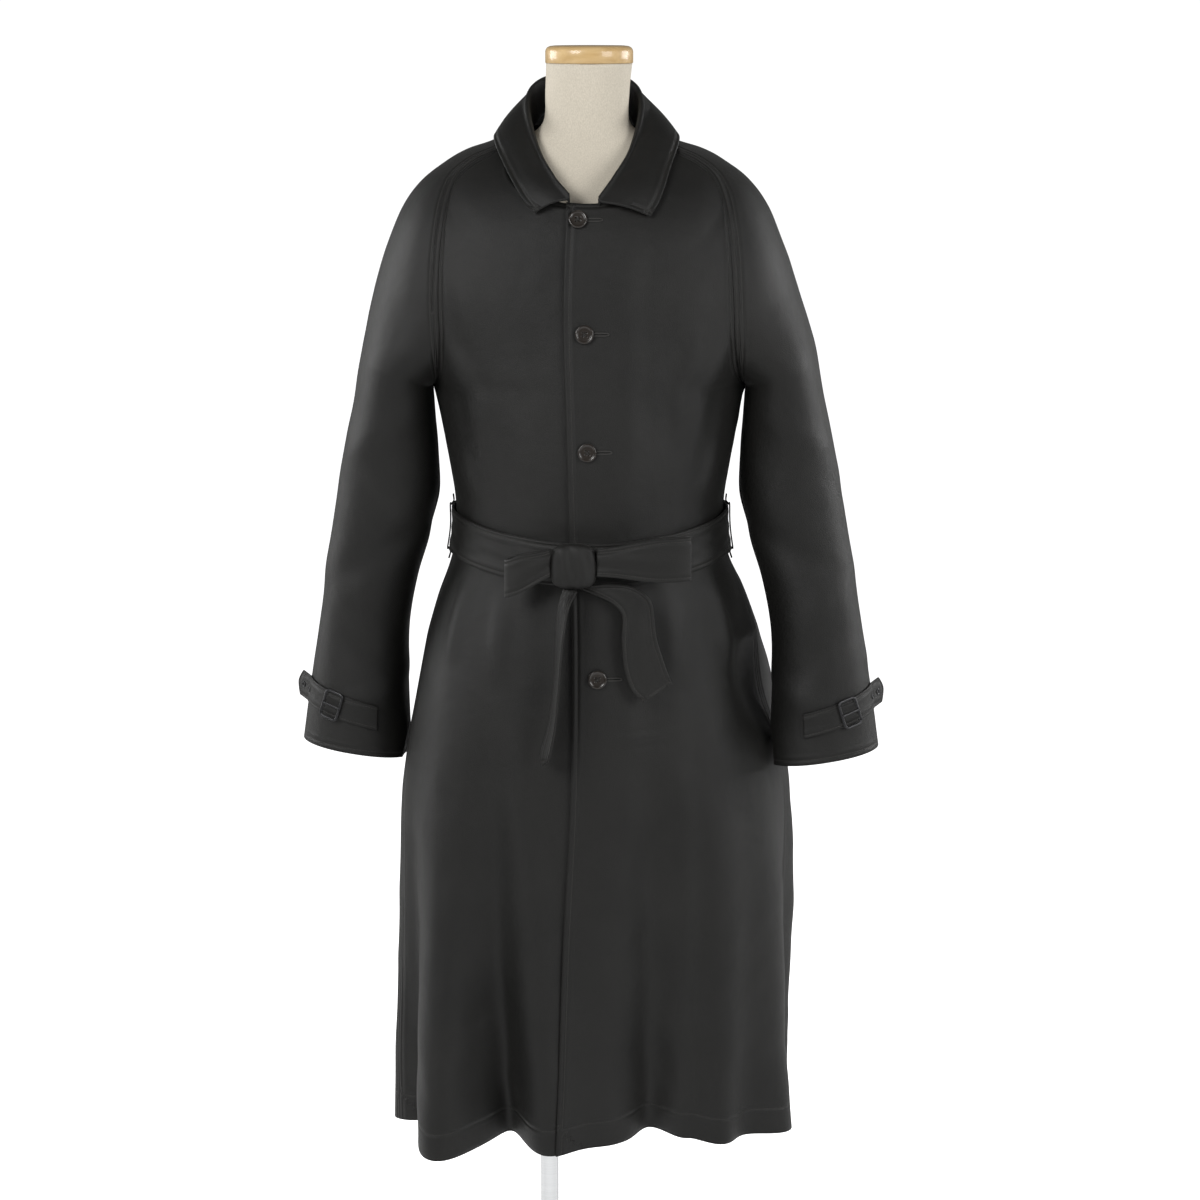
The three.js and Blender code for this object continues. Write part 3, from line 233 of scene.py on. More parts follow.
def ring_normal(angle, z):
    """Across the ring times up it."""
    across = ring(angle + 0.02, z) - ring(angle - 0.02, z)
    return unit(np.cross(across, ring(angle, z + 4) - ring(angle, z - 4)))


def trunk(angle, z, lift=0.0):
    """The coat's outer face: ring point plus its normal times relief and lift."""
    angle, z = np.broadcast_arrays(np.asarray(angle, float), np.asarray(z, float))
    return ring(angle, z) + ring_normal(angle, z) * (relief(angle, z) + lift)[..., None]


def angle_of(x, y, z):
    """The angle whose ring point lies towards (x, y), found by repeated correction."""
    a = np.arctan2(x - look(TRUNK, z)[..., 0], -y)
    for _ in range(12):
        mid, wide, deep, flank = ring_sizes(a, z)
        a = np.arctan2((x - mid) / wide, -(y - flank) / deep)
    return a


def front_angle(x, z):
    """The angle on the front half where the cloth has a given x."""
    x, z = np.broadcast_arrays(np.asarray(x, float), np.asarray(z, float))
    a = np.zeros(x.shape)
    for _ in range(14):
        a = a + np.clip((x - trunk(a, z)[..., 0]) / 200, -0.3, 0.3)
    return a


def hem_rise(angle):
    """The hem hangs lower where a fold stands out."""
    return HEM_Z - 0.1 * relief(angle, np.full(np.shape(angle), HEM_Z))


def overlap_lift(x):
    """How far the wearer's left front stands off the right front under it."""
    return OVERLAP_LIFT * smooth((70 - x) / 30)


def seam_point(table, share, side):
    """A point of a raglan seam on one side."""
    p = look(table, share)
    shift = 4 * (1 - smooth((np.asarray(share) - 0.6) / 0.4)) + 1
    return np.stack([side * p[..., 0] - shift, p[..., 1], p[..., 2]], -1)


def side_angle(z):
    """Angle of the side seam: 80 degrees at the skirt, 90 at the underarm."""
    return np.radians(mix(80, 90, smooth((z - 1000) / (UNDERARM_Z - 1000))))


def seam_rows(table, side, low, high):
    """Side of a panel: low rows up the side seam, then high rows up the raglan seam."""
    f = np.linspace(0, 1, low)
    z0 = hem_rise(side * side_angle(np.array(HEM_Z)))
    z = mix(z0, UNDERARM_Z, f)
    p = trunk(side * side_angle(z), z)
    end = seam_point(table, 1.0, side)
    p = mix(p, end, smooth((f - 0.9) / 0.1)[:, None])
    share = np.linspace(1, 0, high + 1)[1:]
    return (np.concatenate([p, seam_point(table, share, side)]),
            np.concatenate([f, np.ones(high)]), np.concatenate([np.ones(low), share]),
            np.arange(low + high) < low)


print("waist ring x", ring(np.radians([-90, 90]), 1010)[:, 0])

# %% [markdown]
# ## From a grid to a piece of cloth
# Each cut piece is a grid of outer points with a second grid one wall behind it, closed at the
# edges. Two attributes ride along: the distance from the nearest sewn line and the run along it,
# so the finish can draw stitches where the machine would put them.

# %% Grid helpers
def grid_normals(grid, away_from):
    """Across times up at each point, turned so that most point away from an axis point."""
    across = np.gradient(grid, axis=1)
    up = np.gradient(grid, axis=0)
    n = unit(np.cross(across, up))
    vote = np.sign((n * (grid - away_from)).sum(-1)).sum()
    return n if vote >= 0 else -n


def arcs(grid):
    """Length across and length up to each point of a grid."""
    a = np.linalg.norm(np.diff(grid, axis=1), axis=-1)
    u = np.linalg.norm(np.diff(grid, axis=0), axis=-1)
    across = np.concatenate([np.zeros((len(grid), 1)), np.cumsum(a, 1)], 1)
    up = np.concatenate([np.zeros((1, grid.shape[1])), np.cumsum(u, 0)], 0)
    return across, up


def grid_area(grid):
    """Area of a grid from its cells' cross products, in square metres when the grid is in metres."""
    d1 = grid[1:, 1:] - grid[:-1, :-1]
    d2 = grid[1:, :-1] - grid[:-1, 1:]
    return float(np.linalg.norm(np.cross(d1, d2), axis=-1).sum() / 2)


def nearest_line(lines):
    """Of several (distance, run) pairs, the pair with the smallest distance at each point."""
    d = np.stack([l[0] for l in lines])
    r = np.stack([l[1] for l in lines])
    k = np.abs(d).argmin(0)[None]
    return np.take_along_axis(d, k, 0)[0], np.take_along_axis(r, k, 0)[0]


def make_object(name, verts, faces, uv=None, attributes=None, material=None):
    """A smooth mesh object from arrays of points (metres) and quads or triangles."""
    mesh = bpy.data.meshes.new(name)
    mesh.from_pydata(np.asarray(verts, float), [], np.asarray(faces).tolist())
    if uv is not None:
        layer = mesh.uv_layers.new(name="cloth")
        index = np.empty(len(mesh.loops), np.int32)
        mesh.loops.foreach_get("vertex_index", index)
        layer.data.foreach_set("uv", np.asarray(uv, np.float32)[index].ravel())
    for key, values in (attributes or {}).items():
        mesh.attributes.new(key, "FLOAT", "POINT").data.foreach_set("value", np.asarray(values, np.float32))
    mesh.shade_smooth()
    mesh.update()
    obj = bpy.data.objects.new(name, mesh)
    bpy.context.scene.collection.objects.link(obj)
    if material:
        mesh.materials.append(material)
    return obj


def ring_faces(rows, cols):
    """Quads between closed rings of points, as an array of four indices a row."""
    i = np.arange(rows * cols).reshape(rows, cols)
    j = np.roll(i, -1, 1)
    return np.stack([i[:-1], j[:-1], j[1:], i[1:]], -1).reshape(-1, 4)


def slab_arrays(grid, normals, wall):
    """Points and quads of a closed wall: outer grid, inner grid, and a strip along each edge."""
    rows, cols = grid.shape[:2]
    verts = np.concatenate([grid.reshape(-1, 3), (grid - normals * wall).reshape(-1, 3)])
    k = np.arange(rows * cols).reshape(rows, cols)
    outer = np.stack([k[:-1, :-1], k[:-1, 1:], k[1:, 1:], k[1:, :-1]], -1).reshape(-1, 4)
    inner = outer[:, ::-1] + rows * cols
    rim = np.concatenate([k[0, :], k[1:, -1], k[-1, -2::-1], k[-2::-1, 0]])
    strip = np.stack([rim[1:], rim[:-1], rim[:-1] + rows * cols, rim[1:] + rows * cols], -1)
    faces = np.concatenate([outer, inner, strip])
    across, up = grid[0, 1] - grid[0, 0], grid[1, 0] - grid[0, 0]
    if np.dot(np.cross(across, up), normals[0, 0]) < 0:
        faces = faces[:, ::-1]
    return verts, faces


def crumple(p):
    """Small uneven creases in mm: slanting waves times each other, fading at buttons, belt and cuffs."""
    x, y, z = np.moveaxis(p, -1, 0)
    slant = np.sin(x / 17 + 2.1 * np.sin(z / 61)) * np.sin(z / 23 + x / 31 + 1.7 * np.sin(y / 40))
    fine = np.sin(x / 9 - z / 14 + 2 * np.sin(z / 37 + x / 50)) * slant
    hang = np.sin((x + y) / 21 + 1.4 * np.sin(z / 90))
    amount = 0.45 + 0.55 * smooth((1000 - z) / 400)
    quiet = 1 - 0.8 * smooth((45 - np.abs(x - 2)) / 20) * (y < 0)
    quiet = quiet * (1 - 0.6 * smooth((50 - np.abs(z - 1000)) / 20))
    quiet = quiet * (1 - 0.9 * smooth((870 - z) / 25) * smooth((np.abs(x) - 205) / 20) * smooth((z - 700) / 30))
    return amount * quiet * (1.0 * slant + 0.4 * fine + 1.1 * hang)


def cloth_piece(name, grid_mm, away_from, wall, material, lines, nodes, normals=None,
                creased=0.0):
    """A closed wall of cloth with its sewn lines, riding on the frame in place of its plain solids."""
    grid = np.asarray(grid_mm) * MM
    n = grid_normals(grid, np.asarray(away_from) * MM) if normals is None else normals
    along = np.linspace(0, 1, grid.shape[1])[None, :]
    seam_fade = smooth(along / 0.07) * smooth((1 - along) / 0.07)
    grid = grid + n * (creased * seam_fade * crumple(grid / MM) * MM)[..., None]
    verts, faces = slab_arrays(grid, n, wall * MM)
    across, up = arcs(grid)
    dist, run = nearest_line(lines(across, up))
    uv = np.stack([across, up], -1).reshape(-1, 2)
    obj = make_object(name, verts, faces, np.concatenate([uv, uv]),
                      {"seam_dist": np.tile(dist.ravel(), 2), "seam_run": np.tile(run.ravel(), 2)}, material)
    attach(obj, "root")
    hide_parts(*nodes)
    print(name, len(faces), "faces", round(grid_area(grid), 3), "m2")
    return obj, grid


# %% [markdown]
# ## The coat's cloth
# The cloth is a close black cotton with a brushed face. It is very dark, with a soft sheen where it
# turns away, small uneven tone, and fine nap. A shared group draws the machine stitches and the
# slight groove that they pull into the cloth.

# %% Finishes
def value_node(nodes, kind, **settings):
    """A new node with its settings given by name."""
    node = nodes.new(kind)
    for key, value in settings.items():
        setattr(node, key, value)
    return node


def stitch_group():
    """Group: from distance and run to a thread mask (dashes on the line) and a groove height."""
    g = bpy.data.node_groups.new("stitch_row", "ShaderNodeTree")
    for name, side in (("Distance", "INPUT"), ("Run", "INPUT"), ("Thread", "OUTPUT"), ("Height", "OUTPUT")):
        g.interface.new_socket(name=name, in_out=side, socket_type="NodeSocketFloat")
    n, link = g.nodes, g.links
    gin, gout = n.new("NodeGroupInput"), n.new("NodeGroupOutput")

    def math(op, a, b=None, clamp=False):
        node = value_node(n, "ShaderNodeMath", operation=op, use_clamp=clamp)
        for i, v in enumerate((a, b)):
            if v is None:
                continue
            if isinstance(v, (int, float)):
                node.inputs[i].default_value = v
            else:
                link.new(v, node.inputs[i])
        return node.outputs[0]

    away = math("ABSOLUTE", gin.outputs["Distance"])
    on_line = math("LESS_THAN", away, 0.00045)
    dash = math("LESS_THAN", math("FRACT", math("DIVIDE", gin.outputs["Run"], 0.0034)), 0.72)
    thread = math("MULTIPLY", on_line, dash)
    bell = math("POWER", 2.718, math("MULTIPLY", math("MULTIPLY", away, away), -300000.0))
    past = math("SUBTRACT", away, 0.004)
    ridge = math("POWER", 2.718, math("MULTIPLY", math("MULTIPLY", past, past), -150000.0))
    link.new(thread, gout.inputs["Thread"])
    height = math("ADD", math("MULTIPLY", bell, -1.0), math("MULTIPLY", thread, 0.6))
    link.new(math("ADD", height, math("MULTIPLY", ridge, 0.35)), gout.inputs["Height"])
    return g


STITCH_ROW = stitch_group()


def coat_cloth_material(name, tone=1.0):
    """Dark brushed cotton: noise for nap and tone, sheen at grazing view, stitches from the attributes."""
    m = bpy.data.materials.new(name)
    m.use_nodes = True
    n, link = m.node_tree.nodes, m.node_tree.links
    bsdf = n["Principled BSDF"]
    coords = n.new("ShaderNodeTexCoord")
    nap = value_node(n, "ShaderNodeTexNoise")
    nap.inputs["Scale"].default_value = 1400.0
    nap.inputs["Detail"].default_value = 2.0
    cloud = value_node(n, "ShaderNodeTexNoise")
    cloud.inputs["Scale"].default_value = 9.0
    cloud.inputs["Detail"].default_value = 4.0
    pucker = value_node(n, "ShaderNodeTexNoise")
    pucker.inputs["Scale"].default_value = 38.0
    pucker.inputs["Detail"].default_value = 2.0
    for tex in (nap, cloud, pucker):
        link.new(coords.outputs["Object"], tex.inputs["Vector"])
    dist = value_node(n, "ShaderNodeAttribute", attribute_name="seam_dist")
    run = value_node(n, "ShaderNodeAttribute", attribute_name="seam_run")
    stitch = value_node(n, "ShaderNodeGroup", node_tree=STITCH_ROW)
    link.new(dist.outputs["Fac"], stitch.inputs["Distance"])
    link.new(run.outputs["Fac"], stitch.inputs["Run"])
    ramp = n.new("ShaderNodeValToRGB")
    ramp.color_ramp.elements[0].position = 0.3
    ramp.color_ramp.elements[1].position = 0.75
    ramp.color_ramp.elements[0].color = (0.0042 * tone, 0.0041 * tone, 0.0036 * tone, 1)
    ramp.color_ramp.elements[1].color = (0.0080 * tone, 0.0077 * tone, 0.0069 * tone, 1)
    link.new(cloud.outputs["Fac"], ramp.inputs["Fac"])
    colour = value_node(n, "ShaderNodeMix", data_type="RGBA")
    colour.inputs["B"].default_value = (0.020, 0.019, 0.017, 1)
    link.new(ramp.outputs["Color"], colour.inputs["A"])
    link.new(stitch.outputs["Thread"], colour.inputs["Factor"])
    link.new(colour.outputs["Result"], bsdf.inputs["Base Color"])
    bump_fine = n.new("ShaderNodeBump")
    bump_fine.inputs["Strength"].default_value = 0.7
    bump_fine.inputs["Distance"].default_value = 0.0005
    link.new(nap.outputs["Fac"], bump_fine.inputs["Height"])
    bump_soft = n.new("ShaderNodeBump")
    bump_soft.inputs["Strength"].default_value = 0.5
    bump_soft.inputs["Distance"].default_value = 0.0016
    link.new(pucker.outputs["Fac"], bump_soft.inputs["Height"])
    link.new(bump_fine.outputs["Normal"], bump_soft.inputs["Normal"])
    bump_seam = n.new("ShaderNodeBump")
    bump_seam.inputs["Strength"].default_value = 0.9
    bump_seam.inputs["Distance"].default_value = 0.0008
    link.new(stitch.outputs["Height"], bump_seam.inputs["Height"])
    link.new(bump_soft.outputs["Normal"], bump_seam.inputs["Normal"])
    link.new(bump_seam.outputs["Normal"], bsdf.inputs["Normal"])
    bsdf.inputs["Roughness"].default_value = 0.54
    bsdf.inputs["Specular IOR Level"].default_value = 0.3
    bsdf.inputs["Sheen Weight"].default_value = 0.02
    bsdf.inputs["Sheen Roughness"].default_value = 0.45
    bsdf.inputs["Sheen Tint"].default_value = (0.8, 0.8, 0.76, 1)
    return m


def plain_material(name, colour, rough, metal=0.0, coat=0.0, grain=None, deep=0.0002, second=None):
    """One finish with a noise that varies tone and lifts a small bump; grain is its scale along x, y, z."""
    m = bpy.data.materials.new(name)
    m.use_nodes = True
    n, link = m.node_tree.nodes, m.node_tree.links
    bsdf = n["Principled BSDF"]
    coords, mapping, tex = n.new("ShaderNodeTexCoord"), n.new("ShaderNodeMapping"), n.new("ShaderNodeTexNoise")
    mapping.inputs["Scale"].default_value = grain or (120, 120, 120)
    tex.inputs["Scale"].default_value = 1.0
    tex.inputs["Detail"].default_value = 4.0
    link.new(coords.outputs["Object"], mapping.inputs["Vector"])
    link.new(mapping.outputs["Vector"], tex.inputs["Vector"])
    ramp = n.new("ShaderNodeValToRGB")
    ramp.color_ramp.elements[0].position = 0.35
    ramp.color_ramp.elements[1].position = 0.7
    ramp.color_ramp.elements[0].color = (*(second or [c * 0.88 for c in colour]), 1)
    ramp.color_ramp.elements[1].color = (*colour, 1)
    link.new(tex.outputs["Fac"], ramp.inputs["Fac"])
    link.new(ramp.outputs["Color"], bsdf.inputs["Base Color"])
    bump = n.new("ShaderNodeBump")
    bump.inputs["Strength"].default_value = 0.4
    bump.inputs["Distance"].default_value = deep
    link.new(tex.outputs["Fac"], bump.inputs["Height"])
    link.new(bump.outputs["Normal"], bsdf.inputs["Normal"])
    bsdf.inputs["Roughness"].default_value = rough
    bsdf.inputs["Metallic"].default_value = metal
    bsdf.inputs["Coat Weight"].default_value = coat
    return m


COAT = coat_cloth_material("coat_cloth_black")
BELT = coat_cloth_material("coat_cloth_belt", 1.1)
THREAD = plain_material("thread_black", (0.02, 0.019, 0.017), 0.7, grain=(900, 900, 900))
HORN = plain_material("horn_dark", (0.016, 0.012, 0.009), 0.28, coat=0.3, grain=(60, 60, 60), deep=0.00005)
METAL = plain_material("black_metal", (0.045, 0.045, 0.047), 0.3, metal=0.9, grain=(300, 300, 300), deep=0.00003)
LINEN = plain_material("linen_cover", (0.60, 0.55, 0.46), 0.95, grain=(900, 900, 500), deep=0.0004,
                       second=(0.50, 0.455, 0.375))
WOOD = plain_material("cap_wood", (0.60, 0.42, 0.20), 0.35, coat=0.4, grain=(14, 160, 160), deep=0.00008,
                      second=(0.50, 0.33, 0.14))
CHROME = plain_material("pole_chrome", (0.82, 0.83, 0.84), 0.14, metal=1.0, grain=(4, 4, 900), deep=0.00001)
print("finishes made")

# %% [markdown]
# ## Fronts and back
# Each front runs from its free edge to the side seam and, above the underarm, to the raglan seam.
# The left front lies outside the right one. Points near a seam are pulled onto the seam's line,
# so that neighbours meet.

# %% Panels
LOW, HIGH = 150, 60


def front_grid(side, lifted, columns=84):
    """Rows climb; columns go from the front edge to the seam. The miss at the seam fades with the cube."""
    p, f, share, is_low = seam_rows(RAGLAN_FRONT, side, LOW, HIGH)
    z_mid = np.where(is_low, mix(hem_rise(np.zeros(1))[0], 1150, f), mix(1150, NECK_Z, 1 - share))
    x_edge = look(FRONT_EDGE, z_mid)[:, 0] if lifted else np.full(len(z_mid), UNDERLAP_X)
    a0 = front_angle(x_edge, z_mid)
    a1 = angle_of(p[:, 0], p[:, 1], p[:, 2])
    u = np.linspace(0, 1, columns)[None, :]
    angle = mix(a0[:, None], a1[:, None], u)
    part = np.clip(np.abs(angle / a1[:, None]), 0, 1)
    low = mix(hem_rise(angle), mix(1150, UNDERARM_Z, part * part), f[:, None])
    high = mix(z_mid[:, None], p[:, 2:3], part ** (1.3 + 0.7 * (1 - share))[:, None])
    z = np.where(is_low[:, None], low, high)
    z[:, -1] = p[:, 2]
    miss = p - trunk(a1, p[:, 2])
    grid = trunk(angle, z)
    if lifted:
        grid = grid + ring_normal(angle, z) * (overlap_lift(grid[..., 0]) * (1 - u))[..., None]
    return grid + miss[:, None, :] * (u ** 3)[..., None]


def back_grid(columns=150):
    """One piece from side seam to side seam; the misses fade over a third of its width."""
    p, f, share, is_low = seam_rows(RAGLAN_BACK, 1, LOW, HIGH)
    q = seam_rows(RAGLAN_BACK, -1, LOW, HIGH)[0]
    a0 = angle_of(p[:, 0], p[:, 1], p[:, 2])
    a1 = angle_of(q[:, 0], q[:, 1], q[:, 2]) + 2 * np.pi
    u = np.linspace(0, 1, columns)[None, :]
    angle = mix(a0[:, None], a1[:, None], u)
    low = mix(hem_rise(angle), UNDERARM_Z, f[:, None])
    high = mix(p[:, 2:3], q[:, 2:3], u) + (1 - share[:, None]) * 6 * np.sin(np.pi * u)
    z = np.where(is_low[:, None], low, high)
    grid = trunk(angle, z)
    grid = grid + (p - trunk(a0, p[:, 2]))[:, None, :] * (np.clip(1 - 3 * u, 0, 1) ** 2)[..., None]
    return grid + (q - trunk(a1, q[:, 2]))[:, None, :] * (np.clip(3 * u - 2, 0, 1) ** 2)[..., None]


def front_lines(across, up):
    """Edge stitching 6 mm in, side seam stitching 5 mm in, hem stitching 30 mm up."""
    total = across[:, -1:]
    return [(across - 0.0065, up), (up - 0.030, across), (total - across - 0.005, up),
            (up[-1:, :] - up - 0.004, across)]


def back_lines(across, up):
    """Hem stitching, and a row beside each side seam."""
    total = across[:, -1:]
    return [(up - 0.030, across), (across - 0.004, up), (total - across - 0.004, up)]


TRUNK_AXIS = np.array([0, 0, 1000.0])
for name, grid_mm, lines in (("front_left", front_grid(1, True), front_lines),
                             ("front_right", front_grid(-1, False), front_lines),
                             ("back", back_grid(), back_lines)):
    away = np.stack([grid_mm[..., 0] * 0, grid_mm[..., 1] * 0, np.minimum(grid_mm[..., 2], 1300)], -1)
    obj, grid = cloth_piece(name + "_cloth", grid_mm, away, CLOTH, COAT, lines, [name],
                            creased=1.0)

# %% [markdown]
# ## Sleeves
# A raglan sleeve is a tube below the underarm. Above it the tube opens, and its two edges become
# the raglan seams that run up to the neck. One rib formula covers both: an ellipse that opens by
# as much as its ends have parted.

# %% Sleeves
def superness(phi, power=2.15):
    """Factor that squares an ellipse slightly."""
    return (np.abs(np.cos(phi)) ** power + np.abs(np.sin(phi)) ** power) ** (-1 / power)


def rib(outer, front, back, deep, turn):
    """Points of a rib at turn -1 (front end) to 1 (back end); ends are pulled onto the seams by the cube."""
    middle = (front + back) / 2
    half = np.abs(back[..., 1] - front[..., 1]) / 2
    depth = np.maximum(deep, half * 1.0001)
    k = half / depth
    opened = np.pi - np.arcsin(k)
    reach = (outer - middle) / (1 + np.sqrt(1 - k * k))[..., None]
    centre = outer - reach
    depth_v = np.zeros_like(reach)
    depth_v[..., 1] = depth

    def at(phi):
        r = superness(phi)[..., None]
        return centre + reach * (np.cos(phi)[..., None] * r) + depth_v * (np.sin(phi)[..., None] * r)

    end = at(np.sign(turn) * opened)
    aim = np.where((turn < 0)[..., None], front, back)
    return at(turn * opened) + (aim - end) * (np.abs(turn) ** 3)[..., None]


def off_trunk(p, clear):
    """Pushes points of the arm out of the trunk, along the trunk's normal."""
    z = np.minimum(p[..., 2], 1120)
    angle = angle_of(p[..., 0], p[..., 1], z)
    n = ring_normal(angle, z)
    depth = ((p - trunk(angle, z)) * n).sum(-1)
    return p + n * np.maximum(clear - depth, 0)[..., None]


def arm_point(side, share, turn):
    """The closed part of a sleeve."""
    share, turn = np.broadcast_arrays(np.asarray(share, float), np.asarray(turn, float))
    xo, zo, xi, zi, deep = np.moveaxis(look(ARM, share), -1, 0)
    y = look(ARM_BACK, share)[..., 1 if side > 0 else 0]
    outer = np.stack([side * xo - 1, y, zo], -1)
    inner = np.stack([side * xi - 1, y, zi], -1)
    p = rib(outer, inner, inner, deep, turn)
    out = unit(p - (outer + inner) / 2)
    d = np.zeros(share.shape)
    for at, spin, slant, wide, amount in ARM_CREASES:
        swing = (turn * 180 - spin) / 60
        off = (share - at - slant * swing) / wide
        d = d + amount * np.exp(-off * off - swing * swing)
    p = p + out * (d * smooth(share / 0.1) * smooth((1 - share) / 0.2))[..., None]
    return off_trunk(p, 6 * smooth((1 - share) / 0.15))


def shoulder_point(side, share, turn):
    """The open part of a sleeve; share runs from the underarm (1) to the neck (0)."""
    share, turn = np.broadcast_arrays(np.asarray(share, float), np.asarray(turn, float))
    s = look(SHOULDER, share)
    shift = 4 * (1 - smooth((share - 0.6) / 0.4)) + 1
    outer = np.stack([side * s[..., 0] - shift, s[..., 1], s[..., 2]], -1)
    deep = np.where(share > 0.7, mix(90, 101, np.clip((1 - share) / 0.3, 0, 1)), 30)
    return rib(outer, seam_point(RAGLAN_FRONT, share, side), seam_point(RAGLAN_BACK, share, side), deep, turn)


def sleeve_lines(across, up):
    """Cuff hem stitching and double stitching beside the sleeve seam."""
    total = across[:, -1:]
    return [(up - 0.006, across), (across - 0.003, up), (across - 0.009, up), (total - across - 0.003, up)]


TURNS = np.linspace(-1, 1, 120)[None, :]
for side, word in ((1, "left"), (-1, "right")):
    arm = arm_point(side, np.linspace(0, 1, 110)[:, None], TURNS)
    top = shoulder_point(side, np.linspace(1, 0, 71)[1:, None], TURNS)
    grid_mm = np.concatenate([arm, top])
    away = grid_mm.mean(1, keepdims=True) + np.zeros_like(grid_mm)
    away[110:, :, 2] -= 40
    obj, grid = cloth_piece("sleeve_" + word + "_cloth", grid_mm, away, CLOTH, COAT,
                            sleeve_lines, ["sleeve_" + word], creased=1.0)

# %% [markdown]
# ## Collar
# The collar is one folded piece: a stand that climbs from the neckline, a roll, and a leaf that
# falls outside it to two points. The grid follows the visible face, so the inside of the stand and
# the outside of the leaf are the same side of the cloth.

# %% Collar
def off_shoulder(p, clear):
    """Lifts the leaf off the cloth under it."""
    angle = angle_of(p[..., 0], p[..., 1], p[..., 2])
    n = ring_normal(angle, p[..., 2])
    depth = ((p - trunk(angle, p[..., 2])) * n).sum(-1)
    return p + n * np.maximum(clear - depth, 0)[..., None]


rounds = np.linspace(-1, 1, 160)
rows7 = look(COLLAR, rounds)
fold, edge = rows7[:, 0:3], rows7[:, 3:6].copy()
near_front = smooth((np.abs(rounds) - 0.55) / 0.2)
skin = trunk(front_angle(edge[:, 0], edge[:, 2]), edge[:, 2], 7.0)
edge[:, 1] = mix(edge[:, 1], skin[:, 1], near_front)
outward = unit(np.stack([fold[:, 0] - NECK_X, fold[:, 1], np.zeros(len(fold))], -1))
foot = fold - outward * 2.0 - np.stack([0 * rounds, 0 * rounds, mix(40.0, 9.0, near_front)], -1)
roll = fold + outward * 7 + [0, 0, -5.0]
stand = [mix(foot, fold + [0, 0, -4.0], t) for t in np.linspace(0, 1, 10)]
turn_over = [fold + outward * (3.5 - 3.5 * math.cos(t)) + np.array([0, 0, -4 + 5 * math.sin(t)])
             for t in np.linspace(0.25, math.pi - 0.1, 8)]
leaf = [off_shoulder(mix(roll, edge, t) + outward * 2.5 * math.sin(math.pi * t)
                     + np.array([0, 0, 3 * math.sin(math.pi * t)]), 6.0) for t in np.linspace(0.04, 1, 26)]
collar_mm = np.stack(stand + turn_over + leaf)
normals = grid_normals(collar_mm, [NECK_X, 0, 1440])
if normals[-3, 80, 1] < 0:
    normals = -normals


def collar_lines(across, up):
    """Stitching 5 mm inside the leaf's outer edge and its front edges."""
    total = across[:, -1:]
    leaf_only = up > 0.05
    return [(up[-1:, :] - up - 0.005, across),
            (np.where(leaf_only, across - 0.005, 1.0), up), (np.where(leaf_only, total - across - 0.005, 1.0), up)]


obj, grid = cloth_piece("collar_cloth", collar_mm, [0, 0, 0], CLOTH, COAT, collar_lines,
                        ["collar"], normals)

# %% [markdown]
# ## Belt
# A belt of doubled cloth circles the waist and is tied in a bow. The band follows the trunk a
# little outside it. Knot, loops and tails are worked out as strips and a small cushion.

# %% Belt
BELT_WIDTH, BELT_CLOTH, TAIL_CLOTH = 48.0, 2.8, 2.4
KNOT_X, KNOT_HALF, KNOT_DEEP = -18.0, 25.0, 12.0
BELT_LIFT = 1.0 + BELT_CLOTH + 1.8


def belt_point(angle, across, lift):
    """A point of the band: its middle dips to the front by 22 mm times the squared cosine."""
    z = 1010 - 22 * np.maximum(0, np.cos(angle)) ** 2 + across * BELT_WIDTH / 2
    p = ring(angle, z)
    over = np.where(p[..., 1] < 0, overlap_lift(p[..., 0]) * smooth((p[..., 0] + 90) / 50), 0)
    ripple = 0.5 * np.sin(across * 9 + angle * 3) * np.sin(angle * 11)
    return p + ring_normal(angle, z) * (lift + over + ripple)[..., None]


def strip_lines(across, up):
    """Stitching 4 mm inside both long edges."""
    return [(up - 0.004, across), (up[-1:, :] - up - 0.004, across)]


knot_angle = KNOT_X / 152
angles = mix(knot_angle + 0.002, knot_angle + 2 * np.pi - 0.002, np.linspace(0, 1, 320))[None, :]
band_mm = belt_point(angles, np.linspace(-1, 1, 14)[:, None], BELT_LIFT)
obj, grid = cloth_piece("belt_band_cloth", band_mm, [0, 0, 1000], BELT_CLOTH, BELT, strip_lines,
                        ["belt_band"])

low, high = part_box("belt_knot")
knot = (np.array(low) + np.array(high)) / 2 / MM


def knot_grid(rows=60, cols=96):
    """A cushion: signed powers of a sphere's sines, with gathers that run down its face."""
    t = np.linspace(0, np.pi, rows)[:, None]
    a = np.linspace(0, 2 * np.pi, cols, endpoint=False)[None, :]

    def bend(v):
        return np.sign(v) * np.abs(v) ** 0.6
    x = bend(np.sin(t)) * bend(np.cos(a))
    y = bend(np.sin(t)) * bend(np.sin(a))
    z = bend(np.cos(t)) + 0 * a
    cross = 0.10 * np.exp(-(x / 0.18 + 1.2 * z) ** 2) * (y < 0)
    gather = 1 - 0.06 * np.cos(9 * x + 2.2 * z) * np.sin(t) - cross
    pinch = 1 - 0.12 * np.cos(z * 2.2) ** 2 * np.abs(x) ** 2
    wide = x * KNOT_HALF * (1 - 0.04 * z)
    return knot + np.stack([wide, y * KNOT_DEEP * gather, z * KNOT_HALF * pinch], -1)


k = knot_grid()
rows, cols = k.shape[:2]
faces = ring_faces(rows, cols)
knot_obj = make_object("belt_knot_cloth", k.reshape(-1, 3) * MM, faces[:, ::-1], None,
                       {"seam_dist": np.full(rows * cols, 1.0),
                        "seam_run": np.zeros(rows * cols)}, BELT)
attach(knot_obj, "root")
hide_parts("belt_knot")


